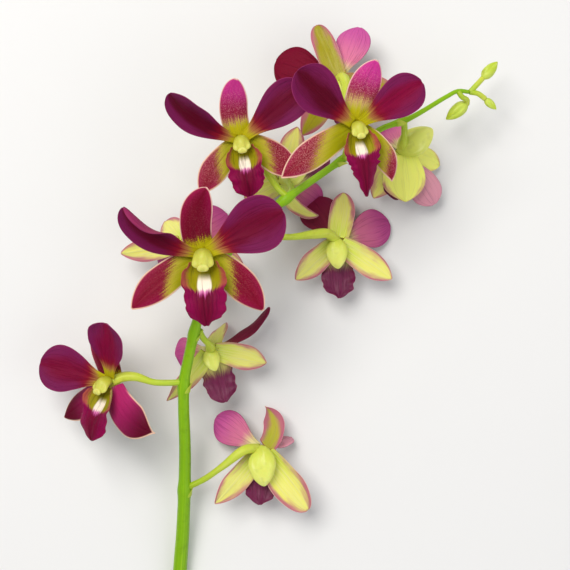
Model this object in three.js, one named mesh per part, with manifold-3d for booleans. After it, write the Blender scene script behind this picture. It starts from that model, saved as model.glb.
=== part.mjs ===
// A cut spray of dendrobium orchid, laid on a flat surface with its best flowers facing up.
// Lengths are in millimetres and angles in degrees. +Y runs from the cut end towards the tip, +X is to the
// right as seen from above, and the surface that the spray lies on is z = 0.
import * as THREE from 'three';
import { mergeVertices } from 'three/addons/utils/BufferGeometryUtils.js';
import Module from 'manifold-3d';

const wasm = await Module();
wasm.setup();

// Driving dimensions.
const MIDDLE = [-7.4, -25.7]; // middle of the spray's outline seen from above, which becomes the origin
const GAP = 0.35; // clear space between pieces that grow from each other
const SHEET = 1.1; // thickness of a sepal, petal or lip
const STEM_RADIUS = { foot: 3.4, tip: 0.9 };
const STALK_RADIUS = { foot: 1.4, ovary: 2.2, bud: 1.2 };
const OVARY = { start: 0.4, full: 0.8 }; // shares of a stalk's length between which it swells to the ovary
const ROLL = { start: 0.28, full: 0.75 }; // shares of a petal's length between which a rolled margin closes
const TWIST_ONSET = 0.5; // power of the share of a sheet's length with which its twist grows
const TIP = 0.997; // share of its drawn length at which a sepal or petal ends, so that its tip has a width
const TIP_WIDTH = 0.03; // least share of its width that the tip keeps
const END_BULGE = 0.35; // how far a rounded body's ends stand out, as a share of its thickness
const SEPAL_LAYER = -1.5; // where sepals leave the flower's hub, along its axis
const PETAL_LAYER = 0.8; // where petals leave it, in front of the sepals
const TEPAL_START = 1.8; // distance from the axis at which sepals and petals begin

// Mesh fineness.
const TEPAL_GRID = { across: 4, along: 6 };
const ROLLED_GRID = { across: 8, along: 7 };
const LIP_GRID = { across: 4, along: 7 };
const BLOB_GRID = { around: 8, along: 5 };
const STEM_GRID = { sides: 8, steps: 44 };
const STALK_GRID = { sides: 6, steps: 10 };
const BUD_STALK_GRID = { sides: 6, steps: 6 };
const TIP_CROWDING = 1.5; // above 1, a sheet's rows stand closer together towards its tip
const WELD = 1e-4; // vertices nearer than this are one

const degrees = THREE.MathUtils.degToRad;

// Colours and surface character of each kind of tissue.
const TISSUE = {
  stem: { color: 0x6f9f2f, roughness: 0.45 },
  stalk: { color: 0xa9bf4a, roughness: 0.5 },
  sepal: { color: 0xb0486f, roughness: 0.55 },
  petal: { color: 0x84124f, roughness: 0.5 },
  lip: { color: 0x7a0c4c, roughness: 0.5 },
  column: { color: 0xdfe39a, roughness: 0.45 },
  bud: { color: 0xc3d06a, roughness: 0.5 },
};

// Outline of each kind of sheet: share of its width at the base, place of its widest part, how fast it
// swells, and two powers that round its tip.
const OUTLINE = {
  dorsal: { base: 0.84, widest: 0.5, swell: 1, round: 2.2, tip: 0.7 },
  lateral: { base: 0.66, widest: 0.55, swell: 1, round: 1.95, tip: 0.8 },
  petal: { base: 0.25, widest: 0.68, swell: 2.1, round: 2.5, tip: 0.56 },
};

// The main stem's middle line, from the cut end to the tip.
const STEM_LINE = [
  [-49.5, -168, 3.4], [-48.3, -131.6, 5.8], [-46.6, -110.7, 10], [-45, -76.5, 19], [-45.1, -53.9, 26],
  [-44.7, -43, 29], [-42.5, -32.2, 32], [-38.5, -16.2, 36.5], [-34.4, -4.4, 39], [-27.4, 10, 41],
  [-15.2, 25.5, 43], [0.9, 37.6, 44], [25.1, 54.6, 43], [40.9, 67.4, 40], [54.7, 73, 37], [71, 82.9, 32],
  [76.5, 85.8, 30], [82.1, 85.6, 28],
];

// The lip, drawn pointing down the page from the foot of the column: place of its middle line, half its
// width, and how far each half curls towards the front.
const LIP_STATIONS = [
  { y: -2.5, z: 0.6, half: 7.5, curl: 68 },
  { y: -6, z: -0.1, half: 10, curl: 72 },
  { y: -11, z: 0.8, half: 11.4, curl: 62 },
  { y: -15, z: 2.4, half: 9.8, curl: 34 },
  { y: -20.5, z: 3.4, half: 8.7, curl: -8 },
  { y: -26, z: 2.6, half: 7.4, curl: -22 },
  { y: -30, z: 0.6, half: 0.8, curl: -16 },
];

// A lip whose middle lobe is folded back along its length, on the same plan.
const FOLDED_LIP_STATIONS = [
  { y: -2.5, z: 0.6, half: 7.5, curl: 68 },
  { y: -6, z: -0.1, half: 10, curl: 72 },
  { y: -11, z: 0.8, half: 11.4, curl: 66 },
  { y: -15.5, z: 2.6, half: 10.6, curl: 20 },
  { y: -20.5, z: 3.4, half: 8.2, curl: -28 },
  { y: -28.5, z: 1.6, half: 6, curl: -60 },
  { y: -38, z: -2, half: 1, curl: -40 },
];

// Rounded bodies: the hub with the column in front, its foot, the spur behind it, and a closed bud.
const HUB = [
  { y: 0, z: -3, wide: 2.8, thick: 2.8 },
  { y: 0, z: 1.6, wide: 2.8, thick: 2.8 },
];
const COLUMN = [
  { y: 0.8, z: 0.4, wide: 2.4, thick: 2 },
  { y: 0, z: 3.2, wide: 3.5, thick: 2.3 },
  { y: -1.7, z: 4.8, wide: 4.1, thick: 2.3 },
  { y: -4.1, z: 5.8, wide: 4.3, thick: 1.9 },
  { y: -5.9, z: 6, wide: 4, thick: 1.2 },
];
const FOOT = [
  { y: 0, z: -2, wide: 2.4, thick: 1.6 },
  { y: -6, z: -3, wide: 2.2, thick: 1.2 },
];
const SPUR = [
  { y: 1, z: -2.8, wide: 3, thick: 2.2 },
  { y: -4, z: -4.5, wide: 5, thick: 2.9 },
  { y: -8, z: -4.8, wide: 4, thick: 2.5 },
  { y: -12, z: -4.4, wide: 1.8, thick: 1.3 },
];
const BUD = [
  { y: 0, z: 0, wide: 1.4, thick: 1.4 },
  { y: -4, z: -0.4, wide: 3.3, thick: 3.4 },
  { y: -9, z: 0.2, wide: 2.9, thick: 2.7 },
  { y: -14, z: 1.2, wide: 0.7, thick: 0.7 },
];

// One sepal or petal. aim is the way it points and sweep how far that turns by its tip, both seen from
// above. rise is how far it leans towards the flower's front and curl how far that grows by the tip. cup is
// how far each half rolls forwards, twist turns it about its own length and roll curls one margin over on
// itself. acute is how much sharper its tip is than the tips of others of its kind.
function tepal(aim, length, width, rise = 8, curl = 5, cup = 10, twist = 0, sweep = 0, roll = 0, acute = 0) {
  return { aim, length, width, rise, curl, cup, twist, sweep, roll, acute };
}

// The flowers, in the order in which they open from the stem's foot. at is the hub, stalk the points of the
// flower's stalk from the stem to behind the hub, chin the way the lip points and spur the way its spur does,
// both seen from above. lip is the scale of its lip and column, and spurSize that of its spur. Flowers with
// apart set are on show, and their sepals and column are pieces of their own.
const FLOWERS = [
  {
    name: 'flower_01', at: [-10.4, -74.1, 17.9], facing: 'down', chin: 268, lip: 0.84,
    spur: 274, spurSize: 1.28,
    stalk: [[-44, -91.6, 14.5], [-36, -87, 21], [-28, -81, 24.9], [-18, -73.5, 25.4], [-12, -73.4, 20.4]],
    dorsal: tepal(40, 26.5, 10, 38, 10, -20, 0, 104, 0, 0.9),
    lateral_left: tepal(232, 31, 12, 2, 5, -20, 25, -6),
    lateral_right: tepal(305, 33, 16.5, 2, 5, -48, 0, 4, 0, -0.25),
    petal_left: tepal(150, 27, 16, 26, 8, 15),
    petal_right: tepal(16, 19, 8, 46, 8, 15, 66),
  },
  {
    name: 'flower_02', at: [-77, -42.7, 33], facing: 'up', yaw: -35, nod: -12, lip: 0.9, chin: 258,
    stalk: [
      [-44.7, -43, 29], [-52, -43.2, 31], [-58.2, -42.8, 32], [-66, -40.4, 32.6], [-71.5, -40.6, 32],
      [-76, -42.4, 32],
    ],
    dorsal: tepal(120, 26, 13.5, 4, 6, -25),
    lateral_left: tepal(212, 30, 14, 0, -5, -15),
    lateral_right: tepal(-68, 33, 16, 0, -12, -20, 0, 62, 0, 0.7),
    petal_left: tepal(170, 32, 21, 20, 8, 15),
    petal_right: tepal(76, 26.5, 23, 26, 10, 20),
  },
  {
    name: 'flower_03', at: [-33.7, -29.2, 19.1], facing: 'down', chin: 286, lip: 0.82, spurSize: 0.78,
    stalk: [[-37.6, -20.2, 35], [-36, -23.5, 32.4], [-33.5, -26.5, 28.2], [-33.4, -28.8, 21.6]],
    dorsal: tepal(62, 22, 8, 55, 8, -20, 60),
    lateral_left: tepal(234, 29, 11, 8, 0, -20, 55, -10),
    lateral_right: tepal(350, 25, 12, 10, 5, -25, 0, -8),
    petal_left: tepal(190, 20, 15, 38, 5, 15),
    petal_right: tepal(16, 33, 8, 16, 0, 15, 72, 42),
  },
  {
    name: 'flower_04', at: [-34, 12.9, 68], facing: 'up', apart: true, lip: 1, chin: 273,
    stalk: [[-34.4, -6.5, 39], [-34.6, -2, 46], [-34.4, 6, 56], [-34, 12, 64]],
    dorsal: tepal(116, 28, 14, 10, 10, -25, 0, -66),
    lateral_left: tepal(209, 36, 14, 5, -5, -15, 0, 18),
    lateral_right: tepal(-33, 33, 14, 0, -10, -15, 0, -22),
    petal_left: tepal(171, 38, 17.5, 14, 8, 20, -48, -46, 95),
    petal_right: tepal(28.5, 36.5, 24, 8, 5, 15, 0, -2),
  },
  {
    name: 'flower_05', at: [-45.2, 18.8, 19.7], facing: 'down', chin: 300, lip: 0.86,
    stalk: [[-30.9, 3.9, 40], [-35, 8, 37.9], [-40.5, 14, 32.8], [-45, 18.4, 22.2]],
    dorsal: tepal(133, 21.5, 12, 50, 8, -20),
    lateral_left: tepal(189, 28, 11.5, 10, 0, -20, 20),
    lateral_right: tepal(340, 27, 12, 12, 5, -20),
    petal_left: tepal(232, 24, 16, 48, 5, 15),
    petal_right: tepal(38, 27, 17, 35, 5, 15),
  },
  {
    name: 'flower_06', at: [23.3, 19.7, 15.8], facing: 'down', chin: 273, lip: 0.86,
    stalk: [
      [-17.3, 22.9, 43], [-9, 21.5, 41], [2, 21, 35.9], [13, 22.5, 28.9], [19, 23, 23.8], [23, 20.2, 18.3],
    ],
    dorsal: tepal(76, 26, 12, 30, 8, -20, 0, 10),
    lateral_left: tepal(223, 24, 12, 10, 0, -20, 20),
    lateral_right: tepal(326, 29, 12.5, 8, 0, -20),
    petal_left: tepal(120, 24, 18, 26, 5, 15),
    petal_right: tepal(20, 28, 18, 25, 5, 15),
  },
  {
    name: 'flower_07', at: [-18.6, 61.3, 57], facing: 'up', apart: true, lip: 0.82, chin: 279,
    stalk: [[1.3, 38, 44], [-3, 41.5, 46], [-10, 51.5, 48], [-16.5, 59.5, 51], [-18.6, 61.3, 54]],
    dorsal: tepal(111, 25, 12.6, 10, 10, -25, 0, -36, 0, -0.12),
    lateral_left: tepal(222, 27, 12, 5, -5, -15, 0, 24),
    lateral_right: tepal(-20, 27, 13, 0, -10, -15, 0, -28),
    petal_left: tepal(166, 35, 16, 15, 0, 25, -50, -38),
    petal_right: tepal(40, 34, 18.5, 5, 5, 15),
  },
  {
    name: 'flower_08', at: [-0.9, 47.3, 18.1], facing: 'down', chin: 30, lip: 0.8,
    stalk: [[1.3, 38, 44], [3, 41.5, 40.7], [1.2, 45.4, 34.4], [-0.8, 47.2, 21.1]],
    dorsal: tepal(203, 24, 13, 40, 8, -20),
    lateral_left: tepal(275, 24, 6.5, 12, 0, -20, 20, 88),
    lateral_right: tepal(75, 25, 12, 18, 0, -20),
    petal_left: tepal(140, 25, 17, 34, 5, 15),
    petal_right: tepal(325, 25, 17, 40, 5, 15),
  },
  {
    name: 'flower_09', at: [29.4, 65.8, 70], facing: 'up', apart: true, yaw: 12, lip: 0.78, chin: 280,
    foldedLip: true,
    stalk: [[26, 55, 43], [26.2, 57, 49], [28, 62, 59], [29, 65.4, 66]],
    dorsal: tepal(82, 27, 13.8, 10, 10, -25, 0, -16),
    lateral_left: tepal(211, 37, 12.5, 5, -5, -15, 0, 8, 0, 0.15),
    lateral_right: tepal(-30, 28, 10, 0, -20, -30, 20, -48, 0, 0.15),
    petal_left: tepal(146, 33, 20, 10, 5, 15, 0, -8),
    petal_right: tepal(34, 31.2, 17.5, 5, 5, 15),
  },
  {
    name: 'flower_10', at: [23.6, 91, 25], facing: 'down', chin: 292, lip: 0.86,
    stalk: [
      [33.4, 61.6, 42], [28, 69, 41.5], [25.6, 78, 39], [26.8, 87, 36], [25.6, 91.5, 32], [23.8, 91.2, 27],
    ],
    dorsal: tepal(110, 27, 11, 14, 5, -20, 0, 0, 0, -0.25),
    lateral_left: tepal(236, 28, 12, 18, 0, -20),
    lateral_right: tepal(350, 28, 12, 18, 0, -20),
    petal_left: tepal(160, 30, 20, 18, 5, 15),
    petal_right: tepal(69, 26.2, 16, 12, 5, 15, 20),
  },
  {
    name: 'flower_11', at: [52.5, 60.6, 18.6], facing: 'down', chin: 264, lip: 0.75, spur: 34, spurSize: 1.3,
    stalk: [[52, 71.6, 38], [52.4, 69, 34.9], [52.6, 65, 30.7], [52.4, 61, 21.6]],
    dorsal: tepal(344, 24, 11, 40, 5, -20),
    lateral_left: tepal(275, 21.5, 20, -2, 5, 20),
    lateral_right: tepal(240, 25, 13, 22, 8, 20),
    petal_left: tepal(118, 22, 15, 50, 5, 15),
    petal_right: tepal(304, 28, 15, 14, 5, 15),
  },
];

// The unopened buds at the tip. at is the neck of the bud, aim the way it points seen from above, and rise
// how far it points up.
const BUDS = [
  {
    name: 'bud_01', at: [81.5, 81.5, 24], aim: 218, rise: -8, size: 0.85,
    stalk: [[76.5, 85.8, 30], [78.5, 83.4, 28.6], [81, 82.4, 26], [81.3, 80.8, 23.8]],
  },
  {
    name: 'bud_02', at: [88, 92, 26], aim: 48, rise: -12, size: 0.72,
    stalk: [[82.1, 85.6, 28], [84.5, 88.2, 28], [88, 92, 26]],
  },
  {
    name: 'bud_03', at: [89, 83, 26], aim: 318, rise: -14, size: 0.5,
    stalk: [[82.1, 85.6, 28], [85.5, 85, 27.8], [89, 83, 26]],
  },
];

// Integrals from 0 to t of cos(start + turn t) and sin(start + turn t).
function cosineRun(start, turn, t) {
  if (Math.abs(turn) < 1e-6) return t * Math.cos(start);
  return (Math.sin(start + turn * t) - Math.sin(start)) / turn;
}

function sineRun(start, turn, t) {
  return cosineRun(start - Math.PI / 2, turn, t);
}

// Share of full width at a share t of a sheet's length, with a tip that may be sharper than usual.
function widthShare({ base, widest, swell, round, tip }, t, acute) {
  if (t < widest) return base + (1 - base) * Math.sin((t / widest) * (Math.PI / 2)) ** swell;
  const beyond = (t - widest) / (1 - widest);
  return Math.max((1 - beyond ** round) ** (tip + acute), TIP_WIDTH);
}

// A point beside a middle line, where each half of the width bends through an angle towards the normal.
function acrossSheet(middle, side, normal, half, curl, across) {
  const bend = Math.abs(curl) < 1e-3 ? 1e-3 : curl;
  return middle
    .addScaledVector(side, (half * Math.sin(across * bend)) / bend)
    .addScaledVector(normal, (half * (1 - Math.cos(across * bend))) / bend);
}

// The middle surface of a sepal or petal: across runs from -1 to 1 and along from 0 to 1.
function tepalSurface(spec, layer, grow) {
  const [aim, sweep, rise, curl, cup, twist, roll] = [
    spec.aim, spec.sweep, spec.rise, spec.curl, spec.cup, spec.twist, spec.roll,
  ].map(degrees);
  const spare = grow / spec.length;
  return (across, along) => {
    const eased = TIP * (1 - (1 - THREE.MathUtils.clamp(along, 0, 1)) ** TIP_CROWDING);
    const t = eased * (1 + 2 * spare) - spare;
    const heading = aim + sweep * t;
    const climb = rise + curl * t;
    const middle = new THREE.Vector3(
      (cosineRun(aim + rise, sweep + curl, t) + cosineRun(aim - rise, sweep - curl, t)) / 2,
      (sineRun(aim + rise, sweep + curl, t) + sineRun(aim - rise, sweep - curl, t)) / 2,
      sineRun(rise, curl, t),
    ).multiplyScalar(spec.length);
    middle.add(new THREE.Vector3(TEPAL_START * Math.cos(aim), TEPAL_START * Math.sin(aim), layer));
    const side = new THREE.Vector3(-Math.sin(heading), Math.cos(heading), 0);
    const ahead = new THREE.Vector3(
      Math.cos(climb) * Math.cos(heading),
      Math.cos(climb) * Math.sin(heading),
      Math.sin(climb),
    );
    const normal = ahead.clone().cross(side);
    const turn = twist * Math.max(t, 0) ** TWIST_ONSET;
    side.applyAxisAngle(ahead, turn);
    normal.applyAxisAngle(ahead, turn);
    const open = widthShare(spec.outline, THREE.MathUtils.clamp(t, 0, 1), spec.acute);
    const half = (spec.width / 2) * open + grow;
    const rolled = across < 0 ? roll * THREE.MathUtils.smoothstep(t, ROLL.start, ROLL.full) : 0;
    return acrossSheet(middle, side, normal, half, cup + rolled, across);
  };
}

// The middle surface of a lip, from its stations.
function lipSurface(stations, size, grow) {
  const line = new THREE.CatmullRomCurve3(
    stations.map(({ y, z }) => new THREE.Vector3(0, y * size, z * size)), false, 'catmullrom',
  );
  const form = new THREE.CatmullRomCurve3(
    stations.map(({ half, curl }) => new THREE.Vector3(half * size, degrees(curl), 0)),
    false,
    'catmullrom',
  );
  const side = new THREE.Vector3(1, 0, 0);
  return (across, along) => {
    const t = THREE.MathUtils.clamp(along, 0, 1);
    const middle = line.getPoint(t);
    const normal = line.getTangent(t).cross(side);
    const { x: half, y: curl } = form.getPoint(t);
    middle.addScaledVector(line.getTangent(t), grow * (2 * t - 1));
    return acrossSheet(middle, side, normal, half + grow, curl, across);
  };
}

// Moves every vertex of a geometry by a function.
function warp(geometry, place) {
  const { position } = geometry.attributes;
  for (let i = 0; i < position.count; i += 1) {
    const moved = place(position.getX(i), position.getY(i), position.getZ(i));
    position.setXYZ(i, moved.x, moved.y, moved.z);
  }
  return geometry;
}

// A sheet of even thickness about a surface.
function sheet(surface, grid, grow) {
  const step = 0.01;
  const block = new THREE.BoxGeometry(2, 1, 2, grid.across, grid.along, 1);
  return warp(block, (x, y, face) => {
    const across = -x;
    const along = y + 0.5;
    const before = Math.max(along - step, 0);
    const after = Math.min(along + step, 1);
    const ahead = surface(across, after).sub(surface(across, before));
    const sideways = surface(across + step, along).sub(surface(across - step, along));
    const normal = ahead.cross(sideways).normalize();
    return surface(across, along).addScaledVector(normal, face * (SHEET / 2 + grow));
  });
}

// A rounded body of oval section about a line in the YZ plane.
function blob(stations, size, grow) {
  const line = new THREE.CatmullRomCurve3(
    stations.map(({ y, z }) => new THREE.Vector3(0, y * size, z * size)), false, 'catmullrom',
  );
  const form = new THREE.CatmullRomCurve3(
    stations.map(({ wide, thick }) => new THREE.Vector3(wide * size, thick * size, 0)), false, 'catmullrom',
  );
  const ball = new THREE.SphereGeometry(1, BLOB_GRID.around, BLOB_GRID.along);
  const right = new THREE.Vector3(1, 0, 0);
  return warp(ball, (x, y, z) => {
    const t = 0.5 - y / 2;
    const { x: wide, y: thick } = form.getPoint(t);
    const ahead = line.getTangent(t);
    const up = right.clone().cross(ahead);
    const around = Math.hypot(x, z);
    const fullness = around > 1e-6 ? (1 - y ** 4) ** 0.5 / around : 0;
    return line
      .getPoint(t)
      .addScaledVector(ahead, -y * (thick * END_BULGE + grow))
      .addScaledVector(right, x * fullness * (wide + grow))
      .addScaledVector(up, -z * fullness * (thick + grow));
  });
}

// A tube through points whose radius is a function of the share of its length.
function tube(points, radiusAt, { sides, steps }, grow) {
  const line = new THREE.CatmullRomCurve3(
    points.map((point) => new THREE.Vector3(...point)), false, 'centripetal',
  );
  const section = new THREE.Shape().absarc(0, 0, 1, 0, Math.PI * 2);
  const settings = { steps, curveSegments: sides / 2, bevelEnabled: false, extrudePath: line };
  const rings = line.getSpacedPoints(steps);
  return warp(new THREE.ExtrudeGeometry(section, settings), (x, y, z) => {
    const corner = new THREE.Vector3(x, y, z);
    const distances = rings.map((middle) => middle.distanceToSquared(corner));
    const nearest = distances.indexOf(Math.min(...distances));
    const middle = rings[nearest];
    return corner.sub(middle).multiplyScalar(radiusAt(nearest / steps) + grow).add(middle);
  });
}

function stemTube(grow) {
  const radiusAt = (t) => THREE.MathUtils.lerp(STEM_RADIUS.foot, STEM_RADIUS.tip, t);
  return tube(STEM_LINE, radiusAt, STEM_GRID, grow);
}

function stalkTube(points, grow) {
  const swelling = STALK_RADIUS.ovary - STALK_RADIUS.foot;
  const swollen = (t) => THREE.MathUtils.smoothstep(t, OVARY.start, OVARY.full);
  const radiusAt = (t) => STALK_RADIUS.foot + swelling * swollen(t);
  return tube(points, radiusAt, STALK_GRID, grow);
}

// A geometry as a closed solid, moved by a matrix.
function solidOf(geometry, matrix) {
  const bare = new THREE.BufferGeometry();
  bare.setAttribute('position', geometry.getAttribute('position').clone());
  bare.setIndex(geometry.index);
  const closed = mergeVertices(bare.applyMatrix4(matrix), WELD);
  const vertProperties = closed.attributes.position.array;
  const triVerts = new Uint32Array(closed.index.array);
  return new wasm.Manifold(new wasm.Mesh({ numProp: 3, vertProperties, triVerts }));
}

function geometryOf(solid, matrix) {
  const { vertProperties, triVerts, numProp } = solid.getMesh();
  const geometry = new THREE.BufferGeometry();
  geometry.setAttribute('position', new THREE.BufferAttribute(new Float32Array(vertProperties), numProp));
  geometry.setIndex(new THREE.BufferAttribute(new Uint32Array(triVerts), 1));
  geometry.applyMatrix4(matrix);
  geometry.computeVertexNormals();
  return geometry;
}

// A piece is made of shapes: each is a function of how far it is grown, with the group whose frame it is in.
function shape(group, make) {
  return { group, make };
}

function joined(shapes, grow) {
  return shapes
    .map(({ group, make }) => solidOf(make(grow), group.matrix))
    .reduce((whole, next) => whole.add(next));
}

// A flower's sepal or petal in its own frame: a flower that faces down is seen mirrored from above.
function tepalShape(group, flower, part, outline, layer) {
  const seen = flower[part];
  const own = flower.facing === 'down'
    ? { ...seen, aim: 180 - seen.aim, sweep: -seen.sweep, twist: -seen.twist }
    : seen;
  const spec = { ...own, outline };
  const grid = spec.roll ? ROLLED_GRID : TEPAL_GRID;
  return shape(group, (grow) => sheet(tepalSurface(spec, layer, grow), grid, grow));
}

function flowerGroup({ name, at, facing, yaw = 0, nod = 0 }) {
  const group = new THREE.Group();
  group.name = `${name}_frame`;
  group.position.set(...at);
  const turned = facing === 'down' ? 180 : 0;
  group.rotation.set(degrees(nod), degrees(yaw + turned), 0, 'YXZ');
  group.updateMatrix();
  return group;
}

// A frame inside a flower for parts drawn pointing down the page, turned to point another way.
function turnedGroup(flower, group, aim = 270) {
  const own = flower.facing === 'down' ? 180 - aim : aim;
  const turned = new THREE.Group();
  turned.rotation.z = degrees(own - 270);
  turned.updateMatrix();
  turned.matrix.premultiply(group.matrix);
  return turned;
}

// The pieces of one flower, in the order in which they are fitted. The flowers on show have every sepal and
// the column as pieces of their own. On the others the three sepals, column and stalk are one piece.
function flowerPieces(flower, spray) {
  const group = flowerGroup(flower);
  const chin = turnedGroup(flower, group, flower.chin);
  const sepals = [
    ['dorsal_sepal', tepalShape(group, flower, 'dorsal', OUTLINE.dorsal, SEPAL_LAYER)],
    ['lateral_sepal_left', tepalShape(group, flower, 'lateral_left', OUTLINE.lateral, SEPAL_LAYER)],
    ['lateral_sepal_right', tepalShape(group, flower, 'lateral_right', OUTLINE.lateral, SEPAL_LAYER)],
  ];
  const core = [
    shape(chin, (grow) => blob(HUB, 1, grow)),
    shape(chin, (grow) => blob(COLUMN, flower.lip, grow)),
    shape(chin, (grow) => blob(FOOT, 1, grow)),
  ];
  const back = turnedGroup(flower, group, flower.spur ?? flower.chin);
  const spur = shape(back, (grow) => blob(SPUR, flower.spurSize ?? 1, grow));
  const stalk = shape(spray, (grow) => stalkTube(flower.stalk, grow));
  const stations = flower.foldedLip ? FOLDED_LIP_STATIONS : LIP_STATIONS;
  const lip = shape(chin, (grow) => sheet(lipSurface(stations, flower.lip, grow), LIP_GRID, grow));
  const piece = (part, tissue, shapes, rank) => {
    const name = `${flower.name}_${part}`;
    return { name, group, tissue, shapes, rank };
  };
  const body = flower.apart
    ? [
      piece('column', 'column', core, 1),
      piece('stalk', 'stalk', [stalk], 2),
      ...sepals.map(([part, made]) => piece(part, 'sepal', [made], 4)),
    ]
    : [piece('sepals', 'sepal', [...core, spur, stalk, ...sepals.map(([, made]) => made)], 2)];
  return [
    ...body,
    piece('lip', 'lip', [lip], 3),
    ...['left', 'right'].map((hand) => {
      const made = tepalShape(group, flower, `petal_${hand}`, OUTLINE.petal, PETAL_LAYER);
      return piece(`petal_${hand}`, 'petal', [made], 5);
    }),
  ];
}

function budPiece({ name, at, aim, rise, size, stalk }, spray) {
  const group = new THREE.Group();
  group.position.set(...at);
  group.rotation.set(degrees(-rise), 0, degrees(aim + 90), 'ZXY');
  group.updateMatrix();
  const shapes = [
    shape(group, (grow) => blob(BUD, size, grow)),
    shape(spray, (grow) => tube(stalk, () => STALK_RADIUS.bud, BUD_STALK_GRID, grow)),
  ];
  return { name, group, tissue: 'bud', shapes, rank: 2 };
}

function boxesMeet(one, other) {
  return [0, 1, 2].every((axis) => one.min[axis] <= other.max[axis] && other.min[axis] <= one.max[axis]);
}

function largestBody(solid) {
  return solid.decompose().reduce((largest, body) => (body.volume() > largest.volume() ? body : largest));
}

// Cuts each piece clear of those of lower rank, and of those before it, and keeps its largest body.
function fitPieces(pieces) {
  const fitted = [];
  [...pieces].sort((a, b) => a.rank - b.rank).forEach((piece) => {
    const whole = joined(piece.shapes, 0);
    const neighbours = fitted.filter(({ grown }) => boxesMeet(whole.boundingBox(), grown.boundingBox()));
    const solid = largestBody(neighbours.reduce((rest, { grown }) => rest.subtract(grown), whole));
    fitted.push({ piece, solid, grown: joined(piece.shapes, GAP) });
  });
  return fitted;
}

function buildSpray() {
  const spray = new THREE.Group();
  spray.name = 'spray';
  spray.updateMatrix();
  const stem = { name: 'stem', group: spray, tissue: 'stem', shapes: [shape(spray, stemTube)], rank: 0 };
  const pieces = [
    stem,
    ...FLOWERS.flatMap((flower) => flowerPieces(flower, spray)),
    ...BUDS.map((bud) => budPiece(bud, spray)),
  ];
  fitPieces(pieces).forEach(({ piece, solid }) => {
    const { name, group, tissue } = piece;
    const geometry = geometryOf(solid, group.matrix.clone().invert());
    const material = new THREE.MeshStandardMaterial({ ...TISSUE[tissue], metalness: 0 });
    const mesh = new THREE.Mesh(geometry, material);
    mesh.name = name;
    group.add(mesh);
    if (group !== spray) spray.add(group);
  });
  spray.position.set(-MIDDLE[0], -MIDDLE[1], 0);
  return spray;
}

export default buildSpray();
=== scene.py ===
"""A cut spray of dendrobium orchid, lying on a pale floor with its best flowers facing up.

Lengths are in millimetres and angles in degrees until a piece is finished, when its mesh is put in metres in
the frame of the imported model. +Y runs from the cut end towards the tip, and +Z up from the floor. A share is a
number from 0 to 1, and across runs from -1 to 1 over the width of a thin sheet.
"""

import logging
import math
from abc import ABC, abstractmethod
from collections.abc import Callable, Sequence
from dataclasses import dataclass, replace
from enum import Enum
from typing import ClassVar

import bmesh
import bpy
from mathutils import Matrix, Vector, noise


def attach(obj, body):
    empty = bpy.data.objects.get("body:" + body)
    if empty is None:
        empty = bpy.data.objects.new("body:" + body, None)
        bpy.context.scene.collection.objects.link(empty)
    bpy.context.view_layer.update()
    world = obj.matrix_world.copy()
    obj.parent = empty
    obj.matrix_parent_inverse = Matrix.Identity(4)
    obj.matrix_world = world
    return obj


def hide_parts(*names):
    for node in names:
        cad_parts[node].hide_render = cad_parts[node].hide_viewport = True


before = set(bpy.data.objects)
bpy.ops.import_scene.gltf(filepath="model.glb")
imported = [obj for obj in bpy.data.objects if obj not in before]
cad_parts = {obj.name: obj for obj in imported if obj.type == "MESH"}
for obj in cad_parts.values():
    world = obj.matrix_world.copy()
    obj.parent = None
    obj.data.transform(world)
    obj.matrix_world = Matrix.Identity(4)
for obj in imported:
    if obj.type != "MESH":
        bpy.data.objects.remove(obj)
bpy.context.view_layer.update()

LOG = logging.getLogger("spray")

Colour = tuple[float, float, float]
Point = tuple[float, float, float]
Pair = tuple[float, float]
Relief = Callable[[float, float], float]
Socket = bpy.types.NodeSocket
Value = Socket | Colour | float
Term = tuple[Value, float]
Skins = Sequence[bpy.types.Material]

MIDDLE = Vector((-7.4, -25.7, 0.0))  # middle of the spray's outline, which is the frame's origin
TO_FRAME = Matrix.Scale(0.001, 4) @ Matrix.Translation(-MIDDLE)
BODY = "root"

# Names of what a mesh carries for its finish.
SHEET_UV = "sheet"
MARGIN = "margin"
DEPTH = "depth"
YELLOW = "yellow"
SEED = "seed"

# Radii at the foot and at the tip.
STEM_RADIUS = (3.4, 0.9)
STALK_RADIUS = (1.4, 2.2)
BUD_STALK_RADIUS = 1.2

OVARY = (0.4, 0.8)  # shares of a stalk between which it swells to the ovary
OVARY_RIBS = 6
OVARY_RIB = 0.06  # height of its ribs as a share of its radius
OVARY_TWIST = 3  # how far the ribs' wave shifts along the stalk, in radians
STALK_FLARE = 0.35  # how far a stalk's foot widens, over the share of its length that follows
STALK_FLARE_SHARE = 0.06
SEPAL_LAYER = -1.5  # how far the sepals' feet lie behind the hub, and the petals' before it
PETAL_LAYER = 0.8
TEPAL_START = 1.8  # distance from the hub's middle to the foot of a sepal or petal
TIP_SHARE = 0.997  # where the last row of a sepal or petal lies
TIP_WIDTH = 0.03  # least width, as a share of the widest
TIP_CROWDING = 1.5  # how much closer the rows lie towards the tip
ROLL_SHARES = (0.28, 0.75)  # shares of the length between which a rolled margin closes
TWIST_ONSET = 0.5  # power of the share by which a twist grows
FREE_SHARES = (0.12, 0.6)  # shares of the length between which a margin comes free to wave
WAVE_POWER = 2.5  # how closely the waves keep to the margin
PHASE_SPREAD = 6.3  # how far the margins' waves may start from each other, in radians
OTHER_MARGIN_PHASE = 2.1
DENT_HEIGHT = 0.45
DENT_COUNTS = (1.3, 2.4)  # how finely soft dents divide half of the width, and the length
GROOVE_WIDTH = 0.07
GROOVE_SHARES = ((0.02, 0.2), (0.8, 1.0))  # where a midrib's groove starts and where it ends
LEAST_BEND = 1e-3  # a flatter row than this, in radians, counts as bent by this
MERGE_GAP = 1e-4  # points nearer than this are one
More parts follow.
